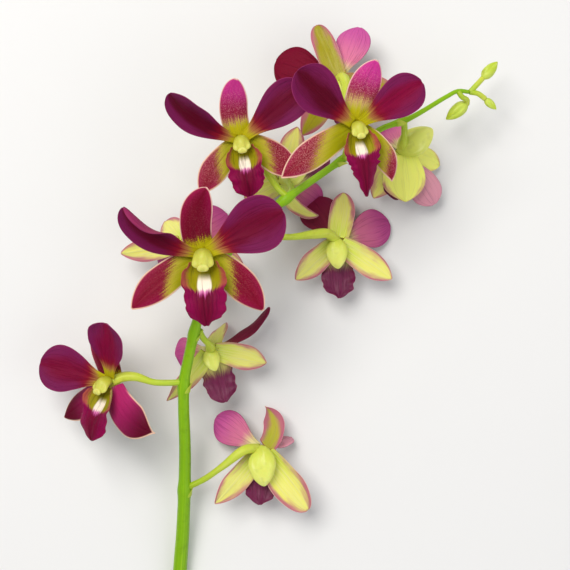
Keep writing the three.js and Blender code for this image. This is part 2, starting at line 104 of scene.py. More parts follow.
DOWN_THE_PAGE = 270  # the way that lips, columns and spurs are drawn pointing, in degrees
END_BULGE = 0.35  # how far a round body's ends stand out, as a share of its thickness
END_POWER = 4  # how full a round body stays towards its ends
KNOB_AROUND = (0, 0.5)  # place and width of a column's knob round it, in radians from its front
KNOB_ALONG = (0.5, 0.16)  # the same along it, as shares
SPUR_KEELS = 3
SPUR_KEEL = 0.35  # how far each of a spur's keels stands out
SPUR_KEEL_SHARES = (0.1, 0.5)  # shares of its length between which they rise
MARGIN_TAPER = 2.0  # width over which a sheet thins towards its margin
DIRECTION_STEP = 0.002  # half of the share over which a line's direction is measured
PROFILE_STEP = 0.004  # the same along stations
SAMPLES_A_RING = 12  # how many points of a line are measured for each ring of a tube

# Steps between the numbers that make the patterns of pieces their own.
FLOWER_SEED = 10.0
TEPAL_SEED = 1.7
LIP_SEED = 8.8
STALK_SEED = 3.3
BLOB_SEED = 7

JOINED_PARTS = {"dorsal_sepal", "lateral_sepal_left", "lateral_sepal_right", "column", "stalk"}

STEM_LINE = (
    (-49.5, -168, 3.4), (-48.3, -131.6, 5.8), (-46.6, -110.7, 10), (-45, -76.5, 19), (-45.1, -53.9, 26),
    (-44.7, -43, 29), (-42.5, -32.2, 32), (-38.5, -16.2, 36.5), (-34.4, -4.4, 39), (-27.4, 10, 41),
    (-15.2, 25.5, 43), (0.9, 37.6, 44), (25.1, 54.6, 43), (40.9, 67.4, 40), (54.7, 73, 37), (71, 82.9, 32),
    (76.5, 85.8, 30), (82.1, 85.6, 28),
)

# Stations along a lip, drawn pointing down the page: y, z, half of the width and how far each half curls up.
LIP_STATIONS = (
    (-2.5, 0.6, 7.5, 68), (-6, -0.1, 10, 72), (-11, 0.8, 11.4, 62), (-15, 2.4, 9.8, 34), (-20.5, 3.4, 8.7, -8),
    (-26, 2.6, 7.4, -22), (-30, 0.6, 0.8, -16),
)
FOLDED_LIP_STATIONS = (
    (-2.5, 0.6, 7.5, 68), (-6, -0.1, 10, 72), (-11, 0.8, 11.4, 66), (-15.5, 2.6, 10.6, 20),
    (-20.5, 3.4, 8.2, -28), (-28.5, 1.6, 6.0, -60), (-38, -2.0, 1.0, -40),
)

# Stations along rounded bodies: y, z, and half of the width and of the thickness.
COLUMN_STATIONS = ((0.8, 0.4, 2.4, 2.0), (0.0, 3.2, 3.5, 2.3), (-1.7, 4.8, 4.1, 2.3), (-4.1, 5.8, 4.3, 1.9),
                   (-5.9, 6.0, 4.0, 1.2))
CAP_STATIONS = ((-4.6, 6.8, 1.6, 0.9), (-6.0, 7.0, 2.5, 1.2), (-7.2, 6.4, 2.2, 0.9))
SPUR_STATIONS = ((1, -2.8, 3, 2.2), (-4, -4.5, 5, 2.9), (-8, -4.8, 4.0, 2.5), (-12, -4.4, 1.8, 1.3))
BUD_STATIONS = ((0, 0, 1.4, 1.4), (-4, -0.4, 3.3, 3.4), (-9, 0.2, 2.9, 2.7), (-14, 1.2, 0.7, 0.7))


def smooth(value: float, low: float, high: float) -> float:
    """Rises from 0 at low to 1 at high with an easy start and end."""
    share = min(max((value - low) / (high - low), 0.0), 1.0)
    return share * share * (3 - 2 * share)


def hump(value: float, place: float, width: float) -> float:
    """Is 1 at a place and falls towards 0 on both sides of it, over about a width."""
    return math.exp(-((value - place) / width) ** 2)


def cosine_run(start: float, turn: float, share: float) -> float:
    """Integral of cos(start + turn s) for s from 0 to a share.

    Args:
        start: First angle, in radians.
        turn: How far the angle grows over the whole run, in radians.
        share: End of the run.

    Returns:
        The integral.
    """
    if abs(turn) < 1e-6:
        return share * math.cos(start)
    return (math.sin(start + turn * share) - math.sin(start)) / turn


def sine_run(start: float, turn: float, share: float) -> float:
    """Integral of sin(start + turn s) for s from 0 to a share, as cosine_run says."""
    return cosine_run(start - math.pi / 2, turn, share)


class Spline:
    """A smooth line through points of any number of coordinates."""

    def __init__(self, points: Sequence[Sequence[float]], even: bool = True) -> None:
        """Keeps the points and one more beyond each end.

        Args:
            points: What the line passes through.
            even: Whether the points count as evenly spaced, and not by the root of their distance.
        """
        inner = [Vector(point) for point in points]
        self.points = [2 * inner[0] - inner[1], *inner, 2 * inner[-1] - inner[-2]]
        self.spans = len(inner) - 1
        self.even = even

    def at(self, share: float) -> Vector:
        """The point at a share of the line, where each span between points is as long as any other.

        Args:
            share: Share of the line. Past its ends, the nearer end is meant.

        Returns:
            The point.
        """
        place = min(max(share, 0.0), 1.0) * self.spans
        index = min(int(place), self.spans - 1)
        before, start, end, after = self.points[index:index + 4]
        if self.even:
            first, last = (end - before) / 2, (after - start) / 2
        else:
            pairs = ((before, start), (start, end), (end, after))
            near, here, far = (max((b - a).length, 1e-6) ** 0.5 for a, b in pairs)
            first = here * ((start - before) / near - (end - before) / (near + here) + (end - start) / here)
            last = here * ((end - start) / here - (after - start) / (here + far) + (after - end) / far)
        t = place - index
        curve = 2 * start - 2 * end + first + last
        bend = -3 * start + 3 * end - 2 * first - last
        return start + first * t + bend * t * t + curve * t ** 3

    def direction(self, share: float) -> Vector:
        """The way that the line runs at a share of it."""
        return (self.at(share + DIRECTION_STEP) - self.at(share - DIRECTION_STEP)).normalized()

    def profile_direction(self, share: float) -> Vector:
        """The way that a line whose first coordinates are y and z runs at a share of it."""
        run = self.at(share + PROFILE_STEP) - self.at(share - PROFILE_STEP)
        return Vector((0, run.x, run.y)).normalized()


@dataclass(frozen=True)
class Ring:
    """One cross-section's frame on a tube's middle line."""

    centre: Vector
    side: Vector
    up: Vector
    ahead: Vector

    def out(self, angle: float) -> Vector:
        """The way out of the middle line at an angle round it, in radians."""
        return self.side * math.cos(angle) + self.up * math.sin(angle)


def rings_along(points: Sequence[Point], count: int) -> list[Ring]:
    """Frames that turn as little as they can, evenly spaced along a line.

    Args:
        points: What the line passes through.
        count: How many spaces lie between the first frame and the last.

    Returns:
        The frames, one more than count.
    """
    line = Spline(points, even=False)
    fine = SAMPLES_A_RING * count
    samples = [line.at(i / fine) for i in range(fine + 1)]
    lengths = [0.0]
    for one, other in zip(samples, samples[1:]):
        lengths.append(lengths[-1] + (other - one).length)
    rings: list[Ring] = []
    index = 0
    for i in range(count + 1):
        target = lengths[-1] * i / count
        while index < fine - 1 and lengths[index + 1] < target:
            index += 1
        span = max(lengths[index + 1] - lengths[index], 1e-9)
        share = (index + (target - lengths[index]) / span) / fine
        ahead = line.direction(share)
        previous = rings[-1].side if rings else Vector((ahead.y, -ahead.x, 0.01))
        side = (previous - ahead * previous.dot(ahead)).normalized()
        rings.append(Ring(line.at(share), side, ahead.cross(side), ahead))
    return rings


@dataclass(frozen=True)
class Outline:
    """How the width of a sepal or petal changes along it."""

    base: float
    widest: float
    swell: float
    blunt: float
    tip: float

    def width(self, share: float, acute: float) -> float:
        """Share of the full width at a share of the length.

        Args:
            share: Share of the length.
            acute: How much sharper than usual the tip is, or blunter below 0.

        Returns:
            The share of the width.
        """
        if share < self.widest:
            return self.base + (1 - self.base) * math.sin(share / self.widest * math.pi / 2) ** self.swell
        beyond = (share - self.widest) / (1 - self.widest)
        return max((1 - beyond ** self.blunt) ** (self.tip + acute), TIP_WIDTH)


@dataclass(frozen=True)
class Habit:
    """What all sepals or petals of one kind share: outline, layer, margin waves, and the midrib's groove."""

    outline: Outline
    layer: float
    wave: float
    waves: float
    groove: float


class Organ(Enum):
    """The kinds of sepal and petal."""

    DORSAL = Habit(Outline(0.84, 0.5, 1, 2.2, 0.7), SEPAL_LAYER, 0.2, 1.6, 0.22)
    LATERAL = Habit(Outline(0.66, 0.55, 1, 1.95, 0.8), SEPAL_LAYER, 0.3, 1.8, 0.25)
    PETAL = Habit(Outline(0.25, 0.68, 2.1, 2.5, 0.56), PETAL_LAYER, 0.35, 2.2, 0.16)


class Facing(Enum):
    """Which way a flower looks."""

    UP = 0
    DOWN = 180


@dataclass(frozen=True)
class Tepal:
    """One sepal or petal.

    aim is the way it points and sweep how far that turns by its tip, both seen from above. rise is how far it
    leans towards the flower's front and curl how far that grows by the tip. cup is how far each half rolls
    forwards, twist turns it about its own length, and roll curls one margin over on itself. acute is how much
    sharper its tip is than others of its kind, and yellow how much further the yellow of its foot reaches. On a
    sepal's back, yellow above 0 also paints light on it.
    Angles are in degrees and lengths in mm.
    """

    aim: float
    length: float
    width: float
    rise: float = 8
    curl: float = 5
    cup: float = 10
    twist: float = 0
    sweep: float = 0
    roll: float = 0
    acute: float = 0
    yellow: float = 0

    def mirrored(self) -> "Tepal":
        """The same sheet as the flower's own front sees it, on a flower that faces down."""
        return replace(self, aim=180 - self.aim, twist=-self.twist, sweep=-self.sweep)


class Surface(ABC):
    """The middle surface of a thin piece: across runs from -1 to 1 and along from 0 to 1."""

    @abstractmethod
    def point(self, across: float, along: float) -> Vector:
        """The place of a point on the surface."""

    @abstractmethod
    def margin(self, across: float, along: float) -> float:
        """Distance from the free margin, in mm."""

    def share(self, along: float) -> float:
        """Share of the real length at a row of the grid. Rows are even unless a surface says otherwise."""
        return along


@dataclass(frozen=True)
class Row:
    """One row across a thin sheet, bent into an arc.

    middle is its middle, side the way to its side, normal the way that it faces, half half of its width and
    bend the angle that each half turns through, in radians.
    """

    middle: Vector
    side: Vector
    normal: Vector
    half: float
    bend: float

    def at(self, across: float, relief: float) -> Vector:
        """A point of the row.

        Args:
            across: Place across the row.
            relief: How far the point stands before the plain arc.

        Returns:
            The point.
        """
        bend = self.bend if abs(self.bend) > LEAST_BEND else LEAST_BEND
        sine, cosine = math.sin(across * bend), math.cos(across * bend)
        facing = self.normal * cosine - self.side * sine
        place = self.middle + self.side * (self.half * sine / bend)
        return place + self.normal * (self.half * (1 - cosine) / bend) + facing * relief


class TepalSurface(Surface):
    """The middle surface of a sepal or petal in its flower's frame."""

    def __init__(self, tepal: Tepal, habit: Habit, seed: float) -> None:
        """Works out the angles once.

        Args:
            tepal: The sheet's own sizes.
            habit: What its kind shares.
            seed: Number that makes its waves its own.
        """
        self.tepal = tepal
        self.habit = habit
        self.seed = seed
        self.aim, self.sweep = math.radians(tepal.aim), math.radians(tepal.sweep)
        self.rise, self.curl = math.radians(tepal.rise), math.radians(tepal.curl)
        self.cup, self.twist = math.radians(tepal.cup), math.radians(tepal.twist)
        self.roll = math.radians(tepal.roll)

    def share(self, along: float) -> float:
        """Rows crowd towards the tip, where the outline turns quickest."""
        return TIP_SHARE * (1 - (1 - along) ** TIP_CROWDING)

    def half_width(self, share: float) -> float:
        """Half of the width at a share of the length, in mm."""
        return self.tepal.width / 2 * self.habit.outline.width(share, self.tepal.acute)

    def margin(self, across: float, along: float) -> float:
        """The nearer of the two side margins and the tip."""
        share = self.share(along)
        return min(self.half_width(share) * (1 - abs(across)), self.tepal.length * (1 - share))

    def middle(self, share: float) -> Vector:
        """The sheet's middle line, whose heading and climb both change evenly along it.

        Args:
            share: Share of the length.

        Returns:
            The point of the line.
        """
        start = Vector((TEPAL_START * math.cos(self.aim), TEPAL_START * math.sin(self.aim), self.habit.layer))
        one, other = (self.aim + self.rise, self.sweep + self.curl), (self.aim - self.rise, self.sweep - self.curl)
        return start + self.tepal.length * Vector((
            (cosine_run(*one, share) + cosine_run(*other, share)) / 2,
            (sine_run(*one, share) + sine_run(*other, share)) / 2,
            sine_run(self.rise, self.curl, share),
        ))

    def point(self, across: float, along: float) -> Vector:
        """The bent, cupped, twisted and gently waved sheet.

        Args:
            across: Place across the sheet.
            along: Row of the grid.

        Returns:
            The point in the flower's frame.
        """
        share = self.share(along)
        heading = self.aim + self.sweep * share
        climb = self.rise + self.curl * share
        side = Vector((-math.sin(heading), math.cos(heading), 0))
        ahead = Vector((math.cos(climb) * math.cos(heading), math.cos(climb) * math.sin(heading), math.sin(climb)))
        turn = Matrix.Rotation(self.twist * share ** TWIST_ONSET, 3, ahead)
        rolled = self.roll * smooth(share, *ROLL_SHARES) if across < 0 else 0.0
        row = Row(self.middle(share), turn @ side, turn @ ahead.cross(side), self.half_width(share),
                  self.cup + rolled)
        return row.at(across, self.relief(across, share))

    def relief(self, across: float, share: float) -> float:
        """How far the sheet stands before its plain form: margin waves, soft dents and the midrib's groove.

        Args:
            across: Place across the sheet.
            share: Share of the length.

        Returns:
            The height, in mm.
        """
        free = smooth(share, *FREE_SHARES)
        phase = PHASE_SPREAD * noise.noise(Vector((self.seed, 3.1, 0)))
        beat = math.sin(2 * math.pi * self.habit.waves * share + phase + (OTHER_MARGIN_PHASE if across > 0 else 0))
        waved = self.habit.wave * free * abs(across) ** WAVE_POWER * beat
        wide, long = DENT_COUNTS
        dents = DENT_HEIGHT * free * noise.noise(Vector((wide * across, long * share, self.seed)))
        begun, ended = (smooth(share, *shares) for shares in GROOVE_SHARES)
        groove = -self.habit.groove * hump(across, 0, GROOVE_WIDTH) * begun
        return waved + dents + groove * (1 - ended)


class LipShape(Enum):
    """How the middle lobe lies: its stations and how ragged its margin is."""

    OPEN = (LIP_STATIONS, 0.17)
    FOLDED = (FOLDED_LIP_STATIONS, 0.5)


class LipSurface(Surface):
    """The three-lobed lip, drawn pointing down the page: two side lobes stand up, and the middle lobe hangs."""

    notch: ClassVar[Pair] = (0.52, 0.035)  # where the lobes part, and how wide the notch is
    notch_depth: ClassVar[float] = 0.14
    lobe: ClassVar[Pair] = (0.5, 0.66)  # shares between which the middle lobe begins
    torn: ClassVar[Pair] = (0.5, 0.65)  # shares between which the margin becomes ragged
    teeth: ClassVar[Pair] = (11, 29)  # how fine the ragged margin's teeth and fringe are
    throat: ClassVar[tuple[float, float, float, float]] = (0.1, 0.25, 0.48, 0.6)
    keels: ClassVar[tuple[float, float, float]] = (-0.15, 0, 0.15)
    keel_width: ClassVar[float] = 0.05
    keel_height: ClassVar[float] = 0.4
    waves: ClassVar[Pair] = (0.6, 1.6)  # their height, and how much more the middle lobe adds
    wave_count: ClassVar[float] = 10
    wave_power: ClassVar[float] = 2.2
    vein_count: ClassVar[float] = 26
    vein_height: ClassVar[float] = 0.14
    vein_end: ClassVar[Pair] = (0.9, 1)
    groove_width: ClassVar[float] = 0.1
    groove_depth: ClassVar[float] = 0.5
    length: ClassVar[float] = 30
    least_width: ClassVar[float] = 0.3

    def __init__(self, shape: LipShape, size: float, seed: float) -> None:
        """Reads the lip's shape once.

        Args:
            shape: How its middle lobe lies.
            size: Its scale.
            seed: Number that makes its ragged margin its own.
        """
        stations, self.ragged = shape.value
        self.size = size
        self.seed = seed
        self.line = Spline(stations)

    def half_width(self, across: float, share: float) -> float:
        """Half of the width, with the notches between the lobes and the ragged margin.

        Args:
            across: Place across the lip, of which only the side counts.
            share: Share of the length.

        Returns:
            The half of that side, in mm.
        """
        side = 4 * math.copysign(1, across)
        coarse, fine = self.teeth
        tooth = noise.noise(Vector((coarse * share, side, self.seed)))
        fringe = noise.noise(Vector((fine * share, side, self.seed + 5)))
        torn = 1 + self.ragged * (tooth + 0.5 * fringe) * smooth(share, *self.torn)
        notch = 1 - self.notch_depth * hump(share, *self.notch)
        return max(self.line.at(share).z * self.size * notch * torn, self.least_width)

    def margin(self, across: float, along: float) -> float:
        """The nearer of the side margins and the tip."""
        tip = (1 - along) * self.length * self.size
        return min(self.half_width(across, along) * (1 - abs(across)), tip)

    def point(self, across: float, along: float) -> Vector:
        """The lip's sheet with its raised keels and wavy middle lobe.

        Args:
            across: Place across the sheet.
            along: Share of the length.

        Returns:
            The point in the lip's frame.
        """
        y, z, _, curl = self.line.at(along)
        side = Vector((1, 0, 0))
        normal = self.line.profile_direction(along).cross(side)
        row = Row(Vector((0, y, z)) * self.size, side, normal, self.half_width(across, along), math.radians(curl))
        return row.at(across, self.relief(across, along))

    def relief(self, across: float, along: float) -> float:
        """Keels down the throat, waves along the middle lobe's margin and a groove down its middle.

        Args:
            across: Place across the sheet.
            along: Share of the length.

        Returns:
            The height, in mm.
        """
        start, full, fading, end = self.throat
        throat = smooth(along, start, full) * (1 - smooth(along, fading, end))
        keels = sum(hump(across, place, self.keel_width) for place in self.keels)
        lobe = smooth(along, *self.lobe)
        beat = noise.noise(Vector((self.wave_count * along, math.copysign(3, across), self.seed + 2)))
        plain, more = self.waves
        waved = (plain + more * lobe) * abs(across) ** self.wave_power * beat
        veins = self.vein_height * lobe * math.cos(self.vein_count * across)
        veins *= (1 - abs(across)) * (1 - smooth(along, *self.vein_end))
        groove = -self.groove_depth * lobe * hump(across, 0, self.groove_width)
        return self.size * (self.keel_height * throat * keels + waved + veins + groove)


@dataclass(frozen=True)
class BractSurface(Surface):
    """A small pointed scale that clasps the stem where a stalk leaves it.

    ring is the stem's frame there, radius the stem's, turn the way round that the scale sits and length its own.
    """

    ring: Ring
    radius: float
    turn: float
    length: float

    half: ClassVar[float] = 2.5
    clasp: ClassVar[float] = 1.25  # how far round the stem each half reaches, in radians
    taper: ClassVar[float] = 1.6
    tip: ClassVar[float] = 0.02
    gap: ClassVar[float] = 0.22
    lift: ClassVar[float] = 1.1  # how far the tip stands off the stem
    curl: ClassVar[float] = 2.2
    foot: ClassVar[float] = 0.25  # share of its length that lies before the stalk

    def margin(self, across: float, along: float) -> float:
        """The nearer of the side margins and the tip."""
        return min(self.half * (1 - abs(across)), self.length * (1 - along))

    def point(self, across: float, along: float) -> Vector:
        """A scale wrapped round the stem, whose tip stands a little off it.

        Args:
            across: Place across the scale.
            along: Share of its length.

        Returns:
            The point in the spray.
        """
        spread = self.clasp * (1 - along ** self.taper) + self.tip
        lift = self.radius + self.gap + self.lift * along ** self.curl
        out = self.ring.out(self.turn - across * spread)
        return self.ring.centre + out * lift + self.ring.ahead * (self.length * (along - self.foot))


@dataclass(frozen=True)
class Layer:
    """A colour laid over those below it.

    It starts to show where a value passes start and covers them by top where the value passes full. With full
    below start, it fades as the value grows.
    """

    colour: Colour
    start: float
    full: float
    top: float = 1.0


class Shader:
    """A material whose nodes are added and linked by short calls."""

    noise_roughness: ClassVar[float] = 0.55
    sheen_roughness: ClassVar[float] = 0.35
    sheen_tint: ClassVar[Colour] = (0.9, 0.35, 0.6)
    glow_radius: ClassVar[Colour] = (1.0, 0.4, 0.3)
    glow_scale: ClassVar[float] = 0.0012
    coat_roughness: ClassVar[float] = 0.3

    def __init__(self, name: str) -> None:
        """Starts a material with its usual surface shader.

        Args:
            name: The material's name.
        """
        self.material = bpy.data.materials.new(name)
        self.material.use_nodes = True
        self.tree = self.material.node_tree
        self.skin = next(node for node in self.tree.nodes if node.type == "BSDF_PRINCIPLED")

    def feed(self, socket: Socket, value: Value) -> None:
        """Links a socket to another, or sets a number or colour on it.

        Args:
            socket: The socket.
            value: What goes into it.
        """
        if isinstance(value, bpy.types.NodeSocket):
            self.tree.links.new(value, socket)
        elif isinstance(value, tuple) and socket.type == "RGBA":
            socket.default_value = (*value, 1.0)
        else:
            socket.default_value = value

    def add(self, kind: str, inputs: dict[str | int, Value], **settings: str) -> bpy.types.Node:
        """Adds a node.

        Args:
            kind: Blender's name for the node, without what all of them start with.
            inputs: What goes into its sockets, by their name or number.
            **settings: Its other properties.

        Returns:
            The node.
        """
        node = self.tree.nodes.new(f"ShaderNode{kind}")
        for name, value in settings.items():
            setattr(node, name, value)
        for key, value in inputs.items():
            self.feed(node.inputs[key], value)
        return node

    def sum(self, operation: str, *terms: Value) -> Socket:
        """One sum of two or three numbers."""
        return self.add("Math", dict(enumerate(terms)), operation=operation).outputs[0]

    def product(self, *shares: Value) -> Value:
        """Multiplies shares, of which there is at least one.

        Args:
            *shares: The shares.

        Returns:
            Their product.
        """
        total, *others = shares
        for share in others:
            total = self.sum("MULTIPLY", total, share)
        return total

    def weigh(self, *terms: Term, base: float = 0.0) -> Value:
        """Adds up values, each times its own weight.

        Args:
            *terms: Each value with its weight.
            base: What is added to them.

        Returns:
            The total.
        """
        total: Value = base
        for value, weight in terms:
            total = self.sum("MULTIPLY_ADD", value, weight, total)
        return total

    def ramp(self, value: Value, low: Value, high: Value, first: float, last: float) -> Socket:
        """Goes smoothly from a first number, up to where a value is low, to a last one, from where it is high."""
        inputs = {"Value": value, "From Min": low, "From Max": high, "To Min": first, "To Max": last}
        return self.add("MapRange", inputs, interpolation_type="SMOOTHSTEP").outputs[0]

    def rise(self, value: Value, low: Value, high: Value, top: float = 1.0) -> Socket:
        """Rises smoothly from 0 at low to top at high."""
        return self.ramp(value, low, high, 0.0, top)

    def fall(self, value: Value, low: Value, high: Value, top: float = 1.0) -> Socket:
        """Falls smoothly from top at low to 0 at high."""
        return self.ramp(value, low, high, top, 0.0)

    def shown(self, layer: Layer, value: Value) -> Socket:
        """Share by which a layer covers what is below it.

        Args:
            layer: The layer.
            value: What its start and full are read from.

        Returns:
            The share.
        """
        if layer.full < layer.start:
            return self.fall(value, layer.full, layer.start, layer.top)
        return self.rise(value, layer.start, layer.full, layer.top)

    def mix(self, share: Value, below: Value, above: Value) -> Socket:
        """Covers one colour with another by a share."""
        return self.add("Mix", {0: share, 6: below, 7: above}, data_type="RGBA").outputs[2]

    def cover(self, below: Value, layer: Layer, value: Value, *within: Value) -> Socket:
        """Lays a layer over a colour by what a value says, within some shares."""
        return self.mix(self.product(self.shown(layer, value), *within), below, layer.colour)

    def darken(self, colour: Value, share: Value, strength: float) -> Socket:
        """Multiplies a colour by 1 - strength where share is 1."""
        factor = self.sum("MULTIPLY_ADD", share, -strength, 1.0)
        return self.add("VectorMath", {0: colour, 1: factor}, operation="MULTIPLY").outputs[0]

    def attribute(self, name: str) -> Socket:
        """A number that the mesh itself carries."""
        return self.add("Attribute", {}, attribute_name=name).outputs["Fac"]

    def sheet(self) -> tuple[Socket, Socket]:
        """Across and along on a sheet or round body, by its own coordinates.

        Returns:
            Both numbers.
        """
        uv = self.add("UVMap", {}, uv_map=SHEET_UV).outputs[0]
        parts = self.add("SeparateXYZ", {0: uv}).outputs
        return self.sum("MULTIPLY_ADD", parts[0], 2.0, -1.0), parts[1]

    def object_place(self) -> Socket:
        """The object's own coordinates."""
        return self.add("TexCoord", {}).outputs["Object"]

    def noise(self, place: Value, scale: float, detail: float) -> Socket:
        """Cloudy noise about 0.5, with detail levels of finer noise."""
        inputs = {"Vector": place, "Scale": scale, "Detail": detail, "Roughness": self.noise_roughness}
        return self.add("TexNoise", inputs).outputs[0]

    def streaks(self, across: Value, along: Value, lines: Pair, detail: float = 2.0) -> Socket:
        """Noise about 0.5 that is drawn out lengthwise, as veins are.

        Args:
            across: Place across the sheet.
            along: Place along it.
            lines: How finely it is divided across and along.
            detail: Levels of finer noise.

        Returns:
            The noise.
        """
        wide, long = (self.sum("MULTIPLY", value, count) for value, count in zip((across, along), lines))
        place = self.add("CombineXYZ", {0: wide, 1: long, 2: self.attribute(SEED)}).outputs[0]
        return self.noise(place, 1.0, detail)

    def clouds(self, scale: float, detail: float) -> Socket:
        """Cloudy noise by the object's own coordinates."""
        return self.noise(self.object_place(), scale, detail)

    def cells(self, scale: float) -> Socket:
        """Distance from the middle of small cells, by the object's own coordinates."""
        return self.add("TexVoronoi", {"Vector": self.object_place(), "Scale": scale}).outputs["Distance"]

    def bump(self, height: Value, depth: float) -> None:
        """Raises the surface by a height from 0 to 1, times a depth in metres."""
        node = self.add("Bump", {"Strength": 1.0, "Distance": depth, "Height": height})
        self.feed(self.skin.inputs["Normal"], node.outputs[0])

    def dress(self, colour: Value, roughness: Value, sheen: float = 0.0, glow: float = 0.0, coat: float = 0.0,
              gloss: float = 0.5) -> bpy.types.Material:
        """Finishes the surface shader.

        Args:
            colour: Its base colour.
            roughness: Its roughness.
            sheen: How much it shines like velvet at a slant.
            glow: How much light passes under the surface.
            coat: How waxy it is.
            gloss: How strongly it reflects.

        Returns:
            The finished material.
        """
        inputs = {
            "Base Color": colour, "Roughness": roughness, "Sheen Weight": sheen,
            "Sheen Roughness": self.sheen_roughness, "Sheen Tint": self.sheen_tint,
            "Specular IOR Level": gloss, "Subsurface Weight": glow, "Subsurface Radius": self.glow_radius,
            "Subsurface Scale": self.glow_scale, "Coat Weight": coat, "Coat Roughness": self.coat_roughness,
        }
        for name, value in inputs.items():
            self.feed(self.skin.inputs[name], value)
        return self.material


class Finish(ABC):
    """The colour and texture of one kind of tissue."""

    @abstractmethod
    def material(self) -> bpy.types.Material:
        """Builds the finish as a material."""


@dataclass(frozen=True)
class Texture:
    """The veins, cells and shine of one side of a thin sheet.

    lines is how finely the veins divide it across and along, crest where a vein starts and is full, and dark how
    much it darkens the colour. cells is how fine the cells are. ridge and bead are the heights of veins and cells
    as shares of depth, which is in metres. rough is the roughness, and grain how much the cells add to it. glow,
    gloss and sheen are as the surface shader has them.
    """

    lines: Pair
    crest: Pair
    dark: float
    cells: float
    ridge: float
    bead: float
    depth: float
    rough: float
    glow: float
    gloss: float
    grain: float = 0.12
    sheen: float = 0.0


class SheetShader(Shader):
    """The material of one side of a thin sheet, with its veins and cells at hand."""

    def __init__(self, name: str, texture: Texture) -> None:
        """Starts the material.

        Args:
            name: The material's name.
            texture: The sheet's veins, cells and shine.
        """
        super().__init__(name)
        self.texture = texture
        self.across, self.along = self.sheet()
        self.off = self.sum("ABSOLUTE", self.across)
        self.streak = self.drawn_out(texture.lines, 3.0)
        self.vein = self.rise(self.streak, *texture.crest)

    def drawn_out(self, lines: Pair, detail: float = 2.0) -> Socket:
        """Noise drawn out along the sheet."""
        return self.streaks(self.across, self.along, lines, detail)

    def veined(self, colour: Value) -> Socket:
        """A colour with its veins darkened."""
        return self.darken(colour, self.vein, self.texture.dark)

    def finished(self, colour: Value, swell: Sequence[Term] = (), dull: Sequence[Term] = ()) -> bpy.types.Material:
        """Gives the sheet its colour, relief and shine.

        Args:
            colour: The colour.
            swell: What else its height depends on.
            dull: What else its roughness depends on.

        Returns:
            The finished material.
        """
        look = self.texture
        cells = self.cells(look.cells)
        self.bump(self.weigh((self.vein, look.ridge), (cells, look.bead), *swell), look.depth)
        grain = [(cells, look.grain)] if look.grain else []
        roughness = self.weigh(*grain, *dull, base=look.rough)
        return self.dress(colour, roughness, look.sheen, look.glow, gloss=look.gloss)


@dataclass(frozen=True)
class PetalFront(Finish):
    """Velvety crimson with a violet margin that is partly painted sheen, and a yellow foot."""

    foot: Colour = (0.44, 0.38, 0.003)
    peach: Layer = Layer((0.38, 0.16, 0.045), 0.12, 0.22)
    flame: Layer = Layer((0.23, 0.003, 0.014), 0.17, 0.32)
    heart: Colour = (0.215, 0.0003, 0.034)
    # dusk is the colour of the darkest petals: partly their own deep crimson, partly painted shade
    dark_and_shaded: Colour = (0.078, 0.0001, 0.009)
    deep: Pair = (0.24, 0.46)  # where the heart's colour starts and is full
    # bloom is the violet towards the margin and tip: partly the petal's own, partly painted sheen of light grazing
    # the velvet
    bloom: Layer = Layer((0.170, 0.009, 0.070), 0.86, 1.6)
    rim: Layer = Layer((0.30, 0.03, 0.12), 0.5, 0.1, 0.55)
    clouds: Pair = (2.2, 2.6)
    texture: Texture = Texture(
        lines=(17, 1.6), crest=(0.50, 0.66), dark=0.15, cells=4200, ridge=-0.5, bead=0.35, depth=0.00016,
        rough=0.38, glow=0.08, gloss=0.08, sheen=0.02,
    )

    def material(self) -> bpy.types.Material:
        """Builds the finish as a material.

        Returns:
            The material.
        """
        shader = SheetShader("petal_front", self.texture)
        depth = shader.attribute(DEPTH)
        cloud = shader.drawn_out(self.clouds)
        reach = shader.weigh((shader.along, 1.0), (shader.streak, 0.2), (cloud, 0.08), (shader.off, -0.06),
                             (depth, 0.08), base=-0.10)
        deep = shader.rise(reach, *self.deep)
        colour = shader.cover(self.foot, self.peach, reach)
        colour = shader.cover(colour, self.flame, reach)
        # Partly painted shade: a petal's depth, which is its flower's dusk, darkens its heart towards the dusk
        # colour.
        colour = shader.mix(deep, colour, shader.mix(depth, self.heart, self.dark_and_shaded))
        # Partly painted sheen: the bloom grows towards the margin and tip.
        outer = shader.weigh((shader.off, 1.0), (cloud, 0.7), (shader.along, 0.55))
        colour = shader.veined(shader.cover(colour, self.bloom, outer, deep))
        colour = shader.cover(colour, self.rim, shader.attribute(MARGIN), deep)
        return shader.finished(colour, [(cloud, 0.6)], [(shader.streak, 0.1)])


@dataclass(frozen=True)
class PetalBack(Finish):
    """Paler, satiny pink with a cream foot and fine veins, turning dark crimson on petals with a high dusk, partly as
    painted shade.
    """

    foot: Colour = (0.80, 0.72, 0.32)
    middle: Layer = Layer((0.70, 0.19, 0.33), 0.28, 0.55)
    bloom: Layer = Layer((0.56, 0.09, 0.32), 0.55, 1.1)
    pale: Layer = Layer((0.74, 0.36, 0.40), 0.0, -1.0, 0.8)
    # deep is dark crimson on petals with a high dusk, partly painted shade
    deep: Layer = Layer((0.17, 0.0008, 0.018), 0.2, 0.45)
    clouds: Pair = (2.2, 2.6)
    texture: Texture = Texture(
        lines=(17, 1.6), crest=(0.52, 0.66), dark=0.22, cells=4200, ridge=0.6, bead=0.3, depth=0.00014,
        rough=0.40, glow=0.10, gloss=0.08,
    )

    def material(self) -> bpy.types.Material:
        """Builds the finish as a material.

        Returns:
            The material.
        """
        shader = SheetShader("petal_back", self.texture)
        depth = shader.attribute(DEPTH)
        reach = shader.weigh((shader.along, 1.0), (shader.streak, 0.25), (shader.drawn_out(self.clouds), 0.1))
        colour = shader.cover(self.foot, self.middle, reach)
        colour = shader.cover(colour, self.bloom, reach)
        colour = shader.cover(colour, self.pale, depth)
        colour = shader.cover(colour, self.deep, reach, depth)
        return shader.finished(shader.veined(colour))


